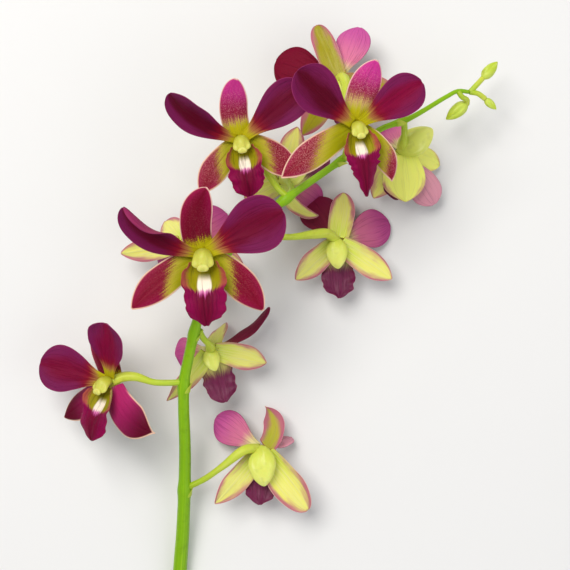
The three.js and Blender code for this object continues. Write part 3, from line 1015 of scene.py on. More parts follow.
@dataclass(frozen=True)
class SepalFront(Finish):
    """Red that breaks up into dots over a yellow-green foot, with pale dust on it, inside a cream rim.

    edge says where the red starts and where it is full: how far each moves in the darkest flowers, and its place
    in the palest. slant is how much earlier it comes on the outer side.
    """

    dust: Layer
    rim: Layer
    edge: tuple[Pair, Pair]
    slant: float
    texture: Texture

    name: ClassVar[str]
    specks: ClassVar[float] = 2300
    dots: ClassVar[float] = 1700
    dot: ClassVar[Pair] = (0.08, 0.4)
    broken: ClassVar[Pair] = (0.15, 0.85)
    dust_reach: ClassVar[Pair] = (0.45, 1.1)
    dust_loss: ClassVar[float] = 0.88  # how much of the dust the darkest flowers lack
    rim_reach: ClassVar[Pair] = (0.1, 0.3)

    @abstractmethod
    def sides(self, shader: SheetShader, spread: Socket, depth: Socket, speck: Socket) -> tuple[Value, Value]:
        """Colours of the foot and of the red beyond it."""

    def material(self) -> bpy.types.Material:
        """Builds the finish as a material.

        Returns:
            The material.
        """
        shader = SheetShader(self.name, self.texture)
        depth = shader.attribute(DEPTH)
        speck = shader.clouds(self.specks, 2.0)
        dots = shader.fall(shader.cells(self.dots), *self.dot)
        spread = shader.weigh((shader.along, 1.0), (shader.across, -self.slant), (shader.streak, 0.34),
                              (shader.attribute(YELLOW), -1.0))
        foot, blush = self.sides(shader, spread, depth, speck)
        edge = shader.rise(spread, *(shader.weigh((depth, move), base=place) for move, place in self.edge))
        red = shader.rise(shader.weigh((edge, 1.1), (speck, 1.1), (dots, -0.12), base=-0.52), *self.broken)
        colour = shader.mix(red, foot, blush)
        left = shader.weigh((depth, -self.dust_loss), base=1.0)
        colour = shader.cover(colour, self.dust, shader.weigh((speck, 1.0), (dots, 0.3)),
                              shader.fall(shader.along, *self.dust_reach), left, red)
        colour = shader.cover(shader.veined(colour), self.rim, shader.attribute(MARGIN),
                              shader.rise(shader.along, *self.rim_reach))
        return shader.finished(colour)


@dataclass(frozen=True)
class DorsalFront(SepalFront):
    """Magenta from a streaked and speckled yellow-green foot, inside a cream margin."""

    dust: Layer = Layer((0.62, 0.26, 0.26), 0.42, 0.95, 0.9)
    rim: Layer = Layer((0.84, 0.52, 0.44), 0.8, 0.25, 0.95)
    edge: tuple[Pair, Pair] = ((-0.16, 0.34), (-0.34, 0.82))
    slant: float = 0.0
    texture: Texture = Texture(
        lines=(22, 2.0), crest=(0.52, 0.68), dark=0.15, cells=3600, ridge=-0.4, bead=0.35, depth=0.00014,
        rough=0.38, glow=0.10, gloss=0.07,
    )
    foot: Colour = (0.44, 0.39, 0.004)
    pale: Layer = Layer((0.56, 0.40, 0.13), 0.32, 0.5)
    middle: Colour = (0.27, 0.010, 0.045)
    tip: Layer = Layer((0.57, 0.035, 0.26), 0.55, 1.0)
    deep: Colour = (0.145, 0.0004, 0.014)
    flush: Layer = Layer((0.32, 0.006, 0.065), 0.6, 1.3, 0.9)
    dark: Pair = (0.2, 1.0)  # depths between which the deep colours take over

    name: ClassVar[str] = "dorsal_front"

    def sides(self, shader: SheetShader, spread: Socket, depth: Socket, speck: Socket) -> tuple[Value, Value]:
        """Colours of the foot and of the red beyond it.

        Args:
            shader: The material.
            spread: Distance from the foot, streaked.
            depth: How dark the flower is.
            speck: Fine noise.

        Returns:
            Both colours.
        """
        outer = shader.weigh((shader.off, 0.6), (shader.along, 0.6), (speck, 0.3))
        magenta = shader.cover(self.middle, self.tip, shader.weigh((shader.along, 1.0), (speck, 0.3)))
        crimson = shader.cover(self.deep, self.flush, outer)
        blush = shader.mix(shader.rise(depth, *self.dark), magenta, crimson)
        return shader.cover(self.foot, self.pale, spread), blush


@dataclass(frozen=True)
class LateralFront(SepalFront):
    """Yellow-green along the inner side, speckled red beyond a slanting, streaked border, and a cream margin."""

    dust: Layer = Layer((0.66, 0.28, 0.25), 0.38, 0.9)
    rim: Layer = Layer((0.82, 0.53, 0.38), 0.9, 0.25, 0.95)
    edge: tuple[Pair, Pair] = ((0.0, 0.42), (-0.1, 0.9))
    slant: float = 0.22
    texture: Texture = Texture(
        lines=(22, 2.0), crest=(0.52, 0.68), dark=0.14, cells=3600, ridge=-0.4, bead=0.35, depth=0.00014,
        rough=0.38, glow=0.10, gloss=0.07,
    )
    foot: Colour = (0.33, 0.31, 0.003)
    pale: Layer = Layer((0.46, 0.38, 0.035), 0.36, 0.6)
    red: Colour = (0.235, 0.006, 0.024)
    deep: Colour = (0.20, 0.0006, 0.020)
    flush: Layer = Layer((0.32, 0.008, 0.065), 0.6, 1.25, 0.9)
    violet: Colour = (0.42, 0.02, 0.13)
    night: Layer = Layer((0.10, 0.0008, 0.014), 0.2, 0.85)
    dark: Pair = (1.0, 1.4)  # depths between which the two-tone of the darkest flowers takes over

    name: ClassVar[str] = "lateral_front"

    def sides(self, shader: SheetShader, spread: Socket, depth: Socket, speck: Socket) -> tuple[Value, Value]:
        """Colours of the foot and of the red beyond it.

        Args:
            shader: The material.
            spread: Distance from the foot, streaked.
            depth: How dark the flower is.
            speck: Fine noise.

        Returns:
            Both colours.
        """
        darkest = shader.rise(depth, *self.dark)
        foot = shader.mix(darkest, shader.cover(self.foot, self.pale, spread), self.dust.colour)
        outer = shader.weigh((shader.off, 0.6), (shader.along, 0.5), (speck, 0.3))
        blush = shader.cover(shader.mix(depth, self.red, self.deep), self.flush, outer)
        return foot, shader.mix(darkest, blush, shader.cover(self.violet, self.night, shader.along))


@dataclass(frozen=True)
class SepalBack(Finish):
    """Yellow-green with a paler margin, flushed pink towards the margin and tip, and made lighter by painted light
    where its yellow is above 0.
    """

    foot: Colour = (0.60, 0.68, 0.06)
    body: Layer = Layer((0.80, 0.77, 0.15), 0.2, 0.7)
    pale: Layer = Layer((0.90, 0.85, 0.40), 0.4, 0.7, 0.5)
    olive: Layer = Layer((0.36, 0.31, 0.004), 0.7, 1.0)
    green: Layer = replace(olive, start=0.0, full=-1.0, top=0.75)
    # painted light: near-white yellow-green laid where yellow is above 0, to light up sepal backs that lie in shadow
    painted_light: Layer = Layer((0.95, 0.97, 0.17), 0.3, 1.0, 0.8)
    flush: Layer = Layer((0.50, 0.11, 0.20), 1.22, 1.7, 0.9)
    border: Layer = replace(flush, start=1.1, full=0.2, top=0.6)
    border_reach: Pair = (0.4, 0.9)
    clouds: Pair = (2.0, 2.4)
    texture: Texture = Texture(
        lines=(13, 1.4), crest=(0.52, 0.66), dark=0.10, cells=3200, ridge=0.5, bead=0.3, depth=0.00014,
        rough=0.36, grain=0.1, glow=0.12, gloss=0.35, sheen=0.02,
    )

    def material(self) -> bpy.types.Material:
        """Builds the finish as a material.

        Returns:
            The material.
        """
        shader = SheetShader("sepal_back", self.texture)
        along, streak = shader.along, shader.streak
        yellow = shader.attribute(YELLOW)
        cloud = shader.drawn_out(self.clouds)
        colour = shader.cover(self.foot, self.body, shader.weigh((along, 1.0), (streak, 0.3)))
        colour = shader.cover(colour, self.pale, streak)
        colour = shader.cover(colour, self.olive, shader.attribute(DEPTH))
        colour = shader.cover(colour, self.green, yellow)
        # Painted light where yellow is above 0.
        colour = shader.cover(colour, self.painted_light, yellow)
        edge = shader.weigh((shader.off, 0.8), (along, 0.45), (cloud, 0.9), (streak, 0.3), (yellow, -0.25))
        colour = shader.cover(colour, self.flush, edge)
        reach = shader.rise(shader.weigh((along, 1.0), (cloud, 0.5), (yellow, -1.0)), *self.border_reach)
        colour = shader.cover(colour, self.border, shader.attribute(MARGIN), reach)
        return shader.finished(shader.veined(colour))


@dataclass(frozen=True)
class LipFront(Finish):
    """White keels in an olive throat, orange side margins and a magenta middle lobe with spreading veins."""

    olive: Colour = (0.30, 0.26, 0.003)
    orange: Layer = Layer((0.41, 0.078, 0.055), 0.95, 1.2)
    keel: Layer = Layer((0.94, 0.82, 0.66), 0.13, 0.06)
    keel_reach: Pair = (0.23, 0.36)
    lobe: Colour = (0.155, 0.0003, 0.024)
    lobe_reach: Pair = (0.59, 0.65)
    violet: Layer = Layer((0.25, 0.001, 0.06), 0.5, 1.1)
    blush: Layer = Layer((0.70, 0.10, 0.40), 0.57, 0.62)
    blush_end: Pair = (0.60, 0.69)
    blush_sides: Pair = (0.35, 0.72)
    rim: Layer = Layer((0.33, 0.055, 0.12), 0.4, 0.05, 0.6)
    rim_reach: Pair = (0.5, 0.6)
    specks: float = 2400
    texture: Texture = Texture(
        lines=(16, 2.2), crest=(0.52, 0.64), dark=0.3, cells=4200, ridge=-0.6, bead=0.35, depth=0.00018,
        rough=0.34, glow=0.08, gloss=0.09,
    )

    def material(self) -> bpy.types.Material:
        """Builds the finish as a material.

        Returns:
            The material.
        """
        shader = SheetShader("lip_front", self.texture)
        along, off, streak = shader.along, shader.off, shader.streak
        side = shader.weigh((off, 1.0), (shader.clouds(self.specks, 1.0), 0.5), (along, 0.35))
        colour = shader.cover(self.olive, self.orange, side)
        colour = shader.cover(colour, self.keel, shader.weigh((off, 1.0), (along, -0.45)),
                              shader.rise(along, *self.keel_reach))
        border = shader.weigh((along, 1.0), (streak, 0.16), (off, 0.08))
        lobe = shader.cover(self.lobe, self.violet, shader.weigh((off, 0.8), (streak, 0.8)))
        colour = shader.mix(shader.rise(border, *self.lobe_reach), colour, lobe)
        colour = shader.cover(colour, self.blush, border, shader.fall(border, *self.blush_end),
                              shader.fall(shader.weigh((off, 1.0), (streak, 0.6)), *self.blush_sides))
        colour = shader.cover(shader.veined(colour), self.rim, shader.attribute(MARGIN),
                              shader.rise(along, *self.rim_reach))
        return shader.finished(colour)


@dataclass(frozen=True)
class LipBack(Finish):
    """Cream-green behind the throat and dull rose behind the middle lobe, darkened partly as painted shade."""

    foot: Colour = (0.58, 0.54, 0.14)
    # lobe is darkened partly as painted shade, for lips that lie in shadow
    lobe: Layer = Layer((0.15, 0.008, 0.055), 0.4, 0.7)
    texture: Texture = Texture(
        lines=(16, 2.2), crest=(0.52, 0.66), dark=0.2, cells=4200, ridge=0.6, bead=0.3, depth=0.00015,
        rough=0.42, grain=0.0, glow=0.10, gloss=0.3, sheen=0.04,
    )

    def material(self) -> bpy.types.Material:
        """Builds the finish as a material.

        Returns:
            The material.
        """
        shader = SheetShader("lip_back", self.texture)
        reach = shader.weigh((shader.along, 1.0), (shader.streak, 0.3))
        return shader.finished(shader.veined(shader.cover(self.foot, self.lobe, reach)))


@dataclass(frozen=True)
class WaxyFinish(Finish):
    """Smooth living tissue of a round body, from one colour at its foot to another at its tip."""

    name: str
    foot: Colour
    tip: Colour
    shade: Colour
    lines: float = 10
    rough: float = 0.34
    glow: float = 0.15
    wax: float = 0.12

    tip_reach: ClassVar[Pair] = (0.1, 1.1)
    shade_reach: ClassVar[tuple[float, float, float]] = (0.5, 0.75, 0.6)
    stretch: ClassVar[float] = 3.0  # how finely its streaks divide it along
    clouds: ClassVar[float] = 260
    cloud_reach: ClassVar[Pair] = (0.5, 0.75)
    cloud_shade: ClassVar[float] = 0.15
    cells: ClassVar[float] = 3000
    depth: ClassVar[float] = 0.00012

    def material(self) -> bpy.types.Material:
        """Builds the finish as a material.

        Returns:
            The material.
        """
        shader = Shader(self.name)
        across, along = shader.sheet()
        streak = shader.streaks(across, along, (self.lines, self.stretch), 3.0)
        cloud = shader.clouds(self.clouds, 2.0)
        reach = shader.weigh((along, 1.0), (cloud, 0.3))
        colour = shader.cover(self.foot, Layer(self.tip, *self.tip_reach), reach)
        colour = shader.cover(colour, Layer(self.shade, *self.shade_reach), streak)
        colour = shader.darken(colour, shader.rise(cloud, *self.cloud_reach), self.cloud_shade)
        cells = shader.cells(self.cells)
        shader.bump(shader.weigh((streak, 0.8), (cells, 0.3)), self.depth)
        roughness = shader.weigh((cells, 0.12), (cloud, 0.1), base=self.rough)
        return shader.dress(colour, roughness, glow=self.glow, coat=self.wax, gloss=2 * self.wax)


@dataclass(frozen=True)
class CutFinish(Finish):
    """The pale, fibrous face of the cut stem, with its tiny bundles."""

    flesh: Colour = (0.55, 0.60, 0.25)
    bundle: Layer = Layer((0.28, 0.34, 0.08), 0.3, 0.12)
    bundles: float = 1500
    depth: float = 0.0002
    rough: float = 0.5

    def material(self) -> bpy.types.Material:
        """Builds the finish as a material.

        Returns:
            The material.
        """
        shader = Shader("stem_cut")
        cells = shader.cells(self.bundles)
        shader.bump(cells, self.depth)
        return shader.dress(shader.cover(self.flesh, self.bundle, cells), self.rough, glow=0.1)


@dataclass(frozen=True)
class FloorFinish(Finish):
    """A pale, matt surface with a hardly visible mottle."""

    tone: Colour = (0.80, 0.79, 0.77)
    mottle: float = 0.03
    clouds: float = 9
    rough: float = 0.75

    def material(self) -> bpy.types.Material:
        """Builds the finish as a material."""
        shader = Shader("floor")
        return shader.dress(shader.darken(self.tone, shader.clouds(self.clouds, 3.0), self.mottle), self.rough)


LIME = (0.38, 0.54, 0.02)
STRAW = (0.58, 0.64, 0.06)
STEM_GREEN = WaxyFinish("stem_green", (0.20, 0.41, 0.005), (0.24, 0.46, 0.008), (0.38, 0.62, 0.02), 9, 0.24, wax=0.07)
BRACT_STRAW = WaxyFinish("bract_straw", LIME, STRAW, (0.62, 0.62, 0.25), 8)
STALK_LIME = WaxyFinish("stalk_lime", LIME, STRAW, (0.62, 0.66, 0.15), 6)
COLUMN_CREAM = WaxyFinish("column_cream", (0.42, 0.43, 0.01), (0.63, 0.61, 0.10), (0.70, 0.68, 0.15), 5)
ANTHER_CAP = WaxyFinish("anther_cap", (0.70, 0.68, 0.16), (0.66, 0.64, 0.12), (0.78, 0.76, 0.24), 4)
SPUR_LIME = WaxyFinish("spur_lime", (0.60, 0.66, 0.07), (0.80, 0.82, 0.18), (0.86, 0.88, 0.32), 7)
BUD_LIME = WaxyFinish("bud_lime", (0.56, 0.66, 0.09), (0.50, 0.62, 0.04), (0.74, 0.80, 0.26), 7)


class Palette:
    """Every finish of the spray, built once. A thin sheet's has a front and a back."""

    def __init__(self) -> None:
        """Builds the materials."""
        self.dorsal = (DorsalFront().material(), SepalBack().material())
        self.lateral = (LateralFront().material(), self.dorsal[1])
        self.petal = (PetalFront().material(), PetalBack().material())
        self.lip = (LipFront().material(), LipBack().material())
        self.stem = STEM_GREEN.material()
        self.bract = BRACT_STRAW.material()
        self.stalk = STALK_LIME.material()
        self.column = COLUMN_CREAM.material()
        self.cap = ANTHER_CAP.material()
        self.spur = SPUR_LIME.material()
        self.bud = BUD_LIME.material()
        self.cut = CutFinish().material()


@dataclass
class Piece:
    """A finished piece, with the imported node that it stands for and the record's slot of its finish."""

    body: bpy.types.Object
    node: str
    slot: str

    def settle(self) -> None:
        """Makes the piece ride on the spray and stand for its node."""
        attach(self.body, BODY)
        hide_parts(self.node)


def stand(name: str, mesh: bmesh.types.BMesh, skins: Skins) -> bpy.types.Object:
    """Gives a mesh its object and materials.

    Args:
        name: The object's name.
        mesh: The mesh, in metres in the spray's frame. It is freed.
        skins: The materials, by the numbers that the faces have.

    Returns:
        The object, at the origin.
    """
    data = bpy.data.meshes.new(name)
    mesh.to_mesh(data)
    mesh.free()
    for skin in skins:
        data.materials.append(skin)
    body = bpy.data.objects.new(name, data)
    bpy.context.scene.collection.objects.link(body)
    return body


def publish(name: str, mesh: bmesh.types.BMesh, matrix: Matrix, skins: Skins) -> bpy.types.Object:
    """Puts a piece's mesh in the frame, shaded smoothly.

    Args:
        name: The piece's name.
        mesh: The mesh, in mm, in a frame of its own. It is freed.
        matrix: That frame's place in the spray.
        skins: The materials, by the numbers that the faces have.

    Returns:
        The object, at the origin.
    """
    mesh.transform(TO_FRAME @ matrix)
    body = stand(name, mesh, skins)
    body.data.polygons.foreach_set("use_smooth", [True] * len(body.data.polygons))
    return body


def refine(body: bpy.types.Object) -> bpy.types.Object:
    """Adds a smoothing subdivision to a piece.

    Args:
        body: The piece.

    Returns:
        The same piece.
    """
    finer = body.modifiers.new("finer", "SUBSURF")
    finer.levels = finer.render_levels = 1
    return body


def tag(mesh: bmesh.types.BMesh, **numbers: float) -> None:
    """Writes numbers that are the same all over a mesh on its corners.

    Args:
        mesh: The mesh.
        **numbers: The numbers, by the names of their layers.
    """
    for name, number in numbers.items():
        layer = mesh.verts.layers.float.new(name)
        for vert in mesh.verts:
            vert[layer] = number


@dataclass(frozen=True)
class SheetForm:
    """How finely a thin piece is divided and how thick it is, in mm."""

    across: int
    along: int
    thickness: float
    thin_margin: float = 0.45

    def build(self, name: str, surface: Surface, matrix: Matrix, skins: Skins, depth: float = 0.0,
              seed: float = 0.0, hand: float = 1.0, yellow: float = 0.0) -> bpy.types.Object:
        """Moves a flat grid onto a surface, and gives it thickness and smoothness.

        Args:
            name: The piece's name.
            surface: The middle surface.
            matrix: Place of the surface's frame in the spray.
            skins: The front's material and the back's.
            depth: How deep its colour is: 0 is pale, 1 dark, and both ends may be passed. On a petal it is its
            flower's dusk, which is partly painted shade.
            seed: Number that makes its pattern its own.
            hand: 1, or -1 to turn the pattern over from side to side.
            yellow: How much further the yellow of its foot reaches, as a share of its length. On a sepal's
            back, above 0 it also paints light on the piece.

        Returns:
            The piece.
        """
        mesh = bmesh.new()
        bmesh.ops.create_grid(mesh, x_segments=self.across, y_segments=self.along, size=1)
        uv = mesh.loops.layers.uv.new(SHEET_UV)
        tag(mesh, **{MARGIN: 0.0, DEPTH: depth, YELLOW: yellow, SEED: seed})
        margin = mesh.verts.layers.float[MARGIN]
        weight = mesh.verts.layers.deform.new()
        for face in mesh.faces:
            for loop in face.loops:
                across, along = loop.vert.co.x, (loop.vert.co.y + 1) / 2
                loop[uv].uv = ((1 - across * hand) / 2, surface.share(along))
        for vert in mesh.verts:
            across, along = -vert.co.x, (vert.co.y + 1) / 2
            distance = surface.margin(across, along)
            vert[margin] = distance
            vert[weight][0] = smooth(distance, 0.0, MARGIN_TAPER)
            vert.co = surface.point(across, along)
        body = publish(name, mesh, matrix, skins)
        body.vertex_groups.new(name="body")
        wall = body.modifiers.new("wall", "SOLIDIFY")
        wall.thickness = self.thickness / 1000
        wall.offset = 0
        wall.material_offset = 1
        wall.vertex_group = "body"
        wall.thickness_vertex_group = self.thin_margin
        return refine(body)


FINE_SHEET = SheetForm(across=24, along=34, thickness=0.75)
PLAIN_SHEET = SheetForm(across=16, along=24, thickness=0.75)
LIP_SHEET = SheetForm(across=32, along=44, thickness=0.6)
PLAIN_LIP = SheetForm(across=20, along=30, thickness=0.6)
BRACT_SHEET = SheetForm(across=8, along=8, thickness=0.35)


def angle_near(place: Vector, middle: Vector) -> float:
    """Angle of a corner round the Z axis, less than half a turn from that of its face's middle.

    Args:
        place: The corner. A pole, which has no angle, takes the middle's.
        middle: The face's middle.

    Returns:
        The angle, in radians.
    """
    near = math.atan2(middle.y, middle.x)
    if math.hypot(place.x, place.y) < MERGE_GAP:
        return near
    return near + math.remainder(math.atan2(place.y, place.x) - near, 2 * math.pi)


@dataclass(frozen=True)
class Blob:
    """A rounded body of oval section about a line.

    stations are y, z, half width and half thickness along the line, and size the scale of all of them. around and
    along are its faces round the body and along it, and relief gives the extra height in mm at an angle round the
    body, in radians, and a share along it.
    """

    stations: Sequence[Sequence[float]]
    size: float
    around: int
    along: int
    relief: Relief

    def mesh(self) -> bmesh.types.BMesh:
        """Shapes a ball into the body.

        Returns:
            The mesh, with its sheet coordinates round it and along it.
        """
        form = Spline([[value * self.size for value in station] for station in self.stations])
        mesh = bmesh.new()
        bmesh.ops.create_uvsphere(mesh, u_segments=self.around, v_segments=self.along, radius=1)
        uv = mesh.loops.layers.uv.new(SHEET_UV)
        tag(mesh, **{SEED: self.size * BLOB_SEED + self.stations[0][0]})
        for face in mesh.faces:
            middle = face.calc_center_median()
            for loop in face.loops:
                turn = angle_near(loop.vert.co, middle) / (2 * math.pi)
                loop[uv].uv = (0.5 + turn, 0.5 - loop.vert.co.z / 2)
        for vert in mesh.verts:
            vert.co = self.place(form, vert.co)
        return mesh

    def place(self, form: Spline, ball: Vector) -> Vector:
        """Where a point of a ball comes to lie on the body.

        Args:
            form: The stations as a line.
            ball: The point.

        Returns:
            Its place on the body.
        """
        x, y, z = ball
        share = 0.5 - z / 2
        middle_y, middle_z, wide, thick = form.at(share)
        right, ahead = Vector((1, 0, 0)), form.profile_direction(share)
        up = right.cross(ahead)
        reach = math.hypot(x, y)
        fullness = (1 - z ** END_POWER) ** 0.5 / reach if reach > 1e-6 else 0.0
        extra = self.relief(math.atan2(y, x), share)
        middle = Vector((0, middle_y, middle_z)) - ahead * (z * thick * END_BULGE)
        return middle + (right * (x * fullness * (wide + extra)) + up * (y * fullness * (thick + extra)))

    def piece(self, name: str, matrix: Matrix, skin: bpy.types.Material, node: str, slot: str) -> Piece:
        """Builds the body as a piece, with matrix as the place of its frame in the spray."""
        return Piece(refine(publish(name, self.mesh(), matrix, [skin])), node, slot)


@dataclass(frozen=True)
class Swelling:
    """A ridge along a round body, or a furrow where height is below 0.

    place is the angle that it runs along, in radians, and width how far it spreads to each side. It starts at one
    share of the body's length and is full at another.
    """

    height: float
    place: float
    width: float
    start: float
    full: float

    def at(self, angle: float, share: float) -> float:
        """Its height at an angle round the body and a share along it."""
        return self.height * smooth(share, self.start, self.full) * hump(angle, self.place, self.width)


COLUMN_WINGS = Swelling(height=0.6, place=0, width=0.35, start=0.45, full=0.8)
COLUMN_DENTS = Swelling(height=-0.8, place=0.75, width=0.3, start=0.5, full=0.7)
COLUMN_HOLLOW = Swelling(height=-1.1, place=math.pi / 2, width=0.7, start=0.45, full=0.8)
CAP_FURROW = Swelling(height=-0.6, place=-math.pi / 2, width=0.28, start=0.2, full=0.5)


def tube(points: Sequence[Point], radius: Relief, around: int, along: int, seed: float) -> bmesh.types.BMesh:
    """A closed tube along a line, rolled from a flat grid.

    Args:
        points: What its middle line passes through.
        radius: Radius in mm at an angle round it and a share along it.
        around: Faces round it.
        along: Faces along it.
        seed: Number that makes its pattern its own.

    Returns:
        The mesh. The caps' faces have material number 1.
    """
    rings = rings_along(points, along)
    mesh = bmesh.new()
    bmesh.ops.create_grid(mesh, x_segments=around, y_segments=along, size=1)
    uv = mesh.loops.layers.uv.new(SHEET_UV)
    tag(mesh, **{SEED: seed})
    for face in mesh.faces:
        for loop in face.loops:
            loop[uv].uv = ((loop.vert.co.x + 1) / 2, (loop.vert.co.y + 1) / 2)
    for vert in mesh.verts:
        angle, share = math.pi * vert.co.x, (vert.co.y + 1) / 2
        ring = rings[round(share * along)]
        vert.co = ring.centre + ring.out(angle) * radius(angle, share)
    bmesh.ops.remove_doubles(mesh, verts=mesh.verts, dist=MERGE_GAP)
    open_edges = [edge for edge in mesh.edges if edge.is_boundary]
    for cap in bmesh.ops.holes_fill(mesh, edges=open_edges)["faces"]:
        cap.material_index = 1
    bmesh.ops.recalc_face_normals(mesh, faces=mesh.faces)
    return mesh


def stalk_radius(angle: float, share: float) -> float:
    """Radius of a flower's stalk, which flares at its foot and swells into its ribbed ovary.

    Args:
        angle: Angle round the stalk, in radians.
        share: Share along it.

    Returns:
        The radius, in mm.
    """
    foot, full = STALK_RADIUS
    swollen = smooth(share, *OVARY)
    ribs = 1 + OVARY_RIB * swollen * math.cos(OVARY_RIBS * angle + OVARY_TWIST * share)
    flare = STALK_FLARE * (1 - smooth(share, 0.0, STALK_FLARE_SHARE))
    return (foot + (full - foot) * swollen) * ribs + flare


@dataclass(frozen=True)
class Flower:
    """One open flower.

    at is the hub, stalk the points of its stalk from the stem to behind the hub, chin the way the lip points and
    spur the way its spur does, both seen from above and in degrees, as yaw and nod are. lip is the scale of its
    lip and column, and spur_size that of its spur. depth is how dark its sepals are, and dusk how dark its left
    and right petals are, partly their own colour and partly painted shade where they lie in shadow. A flower with
    apart set is on show, and each of its pieces stands for a node of its own.
    """

    name: str
    at: Point
    facing: Facing
    stalk: Sequence[Point]
    chin: float
    lip: float
    dorsal: Tepal
    lateral_left: Tepal
    lateral_right: Tepal
    petal_left: Tepal
    petal_right: Tepal
    lip_shape: LipShape = LipShape.OPEN
    yaw: float = 0
    nod: float = 0
    spur: float | None = None
    spur_size: float = 1
    apart: bool = False
    depth: float = 0.5
    dark_and_shaded: Pair = (0.3, 0.3)

    @property
    def number(self) -> int:
        """The flower's number from the stem's foot."""
        return int(self.name[-2:])

    @property
    def frame(self) -> Matrix:
        """Place of the flower's own frame in the spray.

        Returns:
            The place.
        """
        yaw = Matrix.Rotation(math.radians(self.yaw + self.facing.value), 4, "Y")
        nod = Matrix.Rotation(math.radians(self.nod), 4, "X")
        return Matrix.Translation(self.at) @ yaw @ nod

    def turned(self, aim: float) -> Matrix:
        """Place of a frame whose parts, drawn pointing down the page, point another way."""
        own = 180 - aim if self.facing is Facing.DOWN else aim
        return self.frame @ Matrix.Rotation(math.radians(own - DOWN_THE_PAGE), 4, "Z")

    def node(self, part: str) -> str:
        """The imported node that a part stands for."""
        joined = not self.apart and part in JOINED_PARTS
        return f"{self.name}_sepals" if joined else f"{self.name}_{part}"

    def called(self, part: str) -> str:
        """The name of one of the flower's pieces."""
        return f"{part}_{self.number:02d}"

    def build(self, palette: Palette) -> list[Piece]:
        """Builds every piece of the flower."""
        return [*self.build_tepals(palette), self.build_lip(palette), *self.build_column(palette),
                self.build_spur(palette), self.build_stalk(palette)]

    def build_tepals(self, palette: Palette) -> list[Piece]:
        """Builds the three sepals and two petals.

        Args:
            palette: The finishes.

        Returns:
            The pieces.
        """
        form = FINE_SHEET if self.apart else PLAIN_SHEET
        down = self.facing is Facing.DOWN
        plan = (
            ("dorsal_sepal", self.dorsal, Organ.DORSAL, palette.dorsal, 1.0, self.depth),
            ("lateral_sepal_left", self.lateral_left, Organ.LATERAL, palette.lateral, 1.0, self.depth),
            ("lateral_sepal_right", self.lateral_right, Organ.LATERAL, palette.lateral, -1.0, self.depth),
            # A petal's depth is its dusk, which is partly painted shade.
            ("petal_left", self.petal_left, Organ.PETAL, palette.petal, 1.0, self.dark_and_shaded[0]),
            ("petal_right", self.petal_right, Organ.PETAL, palette.petal, 1.0, self.dark_and_shaded[1]),
        )
        pieces = []
        for index, (part, seen, organ, skins, hand, depth) in enumerate(plan):
            tepal = seen.mirrored() if down else seen
            seed = FLOWER_SEED * self.number + TEPAL_SEED * index
            surface = TepalSurface(tepal, organ.value, seed)
            body = form.build(self.called(part), surface, self.frame, skins, depth, seed, -hand if down else hand,
                              tepal.yellow)
            kind = "petal" if organ is Organ.PETAL else "sepal"
            pieces.append(Piece(body, self.node(part), kind if self.apart else f"{kind}_back"))
        return pieces

    def build_lip(self, palette: Palette) -> Piece:
        """Builds the lip.

        Args:
            palette: The finishes.

        Returns:
            The piece.
        """
        form = LIP_SHEET if self.apart else PLAIN_LIP
        seed = FLOWER_SEED * self.number + LIP_SEED
        surface = LipSurface(self.lip_shape, self.lip, seed)
        body = form.build(self.called("lip"), surface, self.turned(self.chin), palette.lip, self.depth, seed)
        return Piece(body, self.node("lip"), "lip")

    def column_relief(self, angle: float, share: float) -> float:
        """The column's knob and two wings, with a dent beside each and a hollow between them.

        Args:
            angle: Angle round the column, in radians.
            share: Share along it.

        Returns:
            The height, in mm.
        """
        front = angle + math.pi / 2
        knob = hump(front, *KNOB_AROUND) * hump(share, *KNOB_ALONG)
        wings, dents = COLUMN_WINGS.at(math.sin(angle), share), COLUMN_DENTS.at(abs(front), share)
        return self.lip * (knob + wings + dents + COLUMN_HOLLOW.at(angle, share))

    def build_column(self, palette: Palette) -> list[Piece]:
        """Builds the column with its two wings, and the cap over its pollen.

        Args:
            palette: The finishes.

        Returns:
            Both pieces.
        """
        place, node = self.turned(self.chin), self.node("column")
        column = Blob(COLUMN_STATIONS, self.lip, around=28, along=20, relief=self.column_relief)
        cap = Blob(CAP_STATIONS, self.lip, around=20, along=14, relief=CAP_FURROW.at)
        return [column.piece(self.called("column"), place, palette.column, node, "column"),
                cap.piece(self.called("anther_cap"), place, palette.cap, node, "column")]

    def build_spur(self, palette: Palette) -> Piece:
        """Builds the blunt spur behind the lip's foot.

        Args:
            palette: The finishes.

        Returns:
            The piece.
        """
        def keel(angle: float, share: float) -> float:
            """Height in mm of the soft keels that start behind the foot."""
            return SPUR_KEEL * math.cos(SPUR_KEELS * angle) * smooth(share, *SPUR_KEEL_SHARES)

        place = self.turned(self.chin if self.spur is None else self.spur)
        spur = Blob(SPUR_STATIONS, self.spur_size, around=24, along=18, relief=keel)
        return spur.piece(self.called("spur"), place, palette.spur, self.node("column"), "sepal_back")

    def build_stalk(self, palette: Palette) -> Piece:
        """Builds the stalk, which swells into the six-ribbed ovary.

        Args:
            palette: The finishes.

        Returns:
            The piece.
        """
        mesh = tube(self.stalk, stalk_radius, around=18, along=40, seed=STALK_SEED * self.number)
        body = publish(self.called("stalk"), mesh, Matrix(), [palette.stalk, palette.stalk])
        return Piece(body, self.node("stalk"), "stalk")


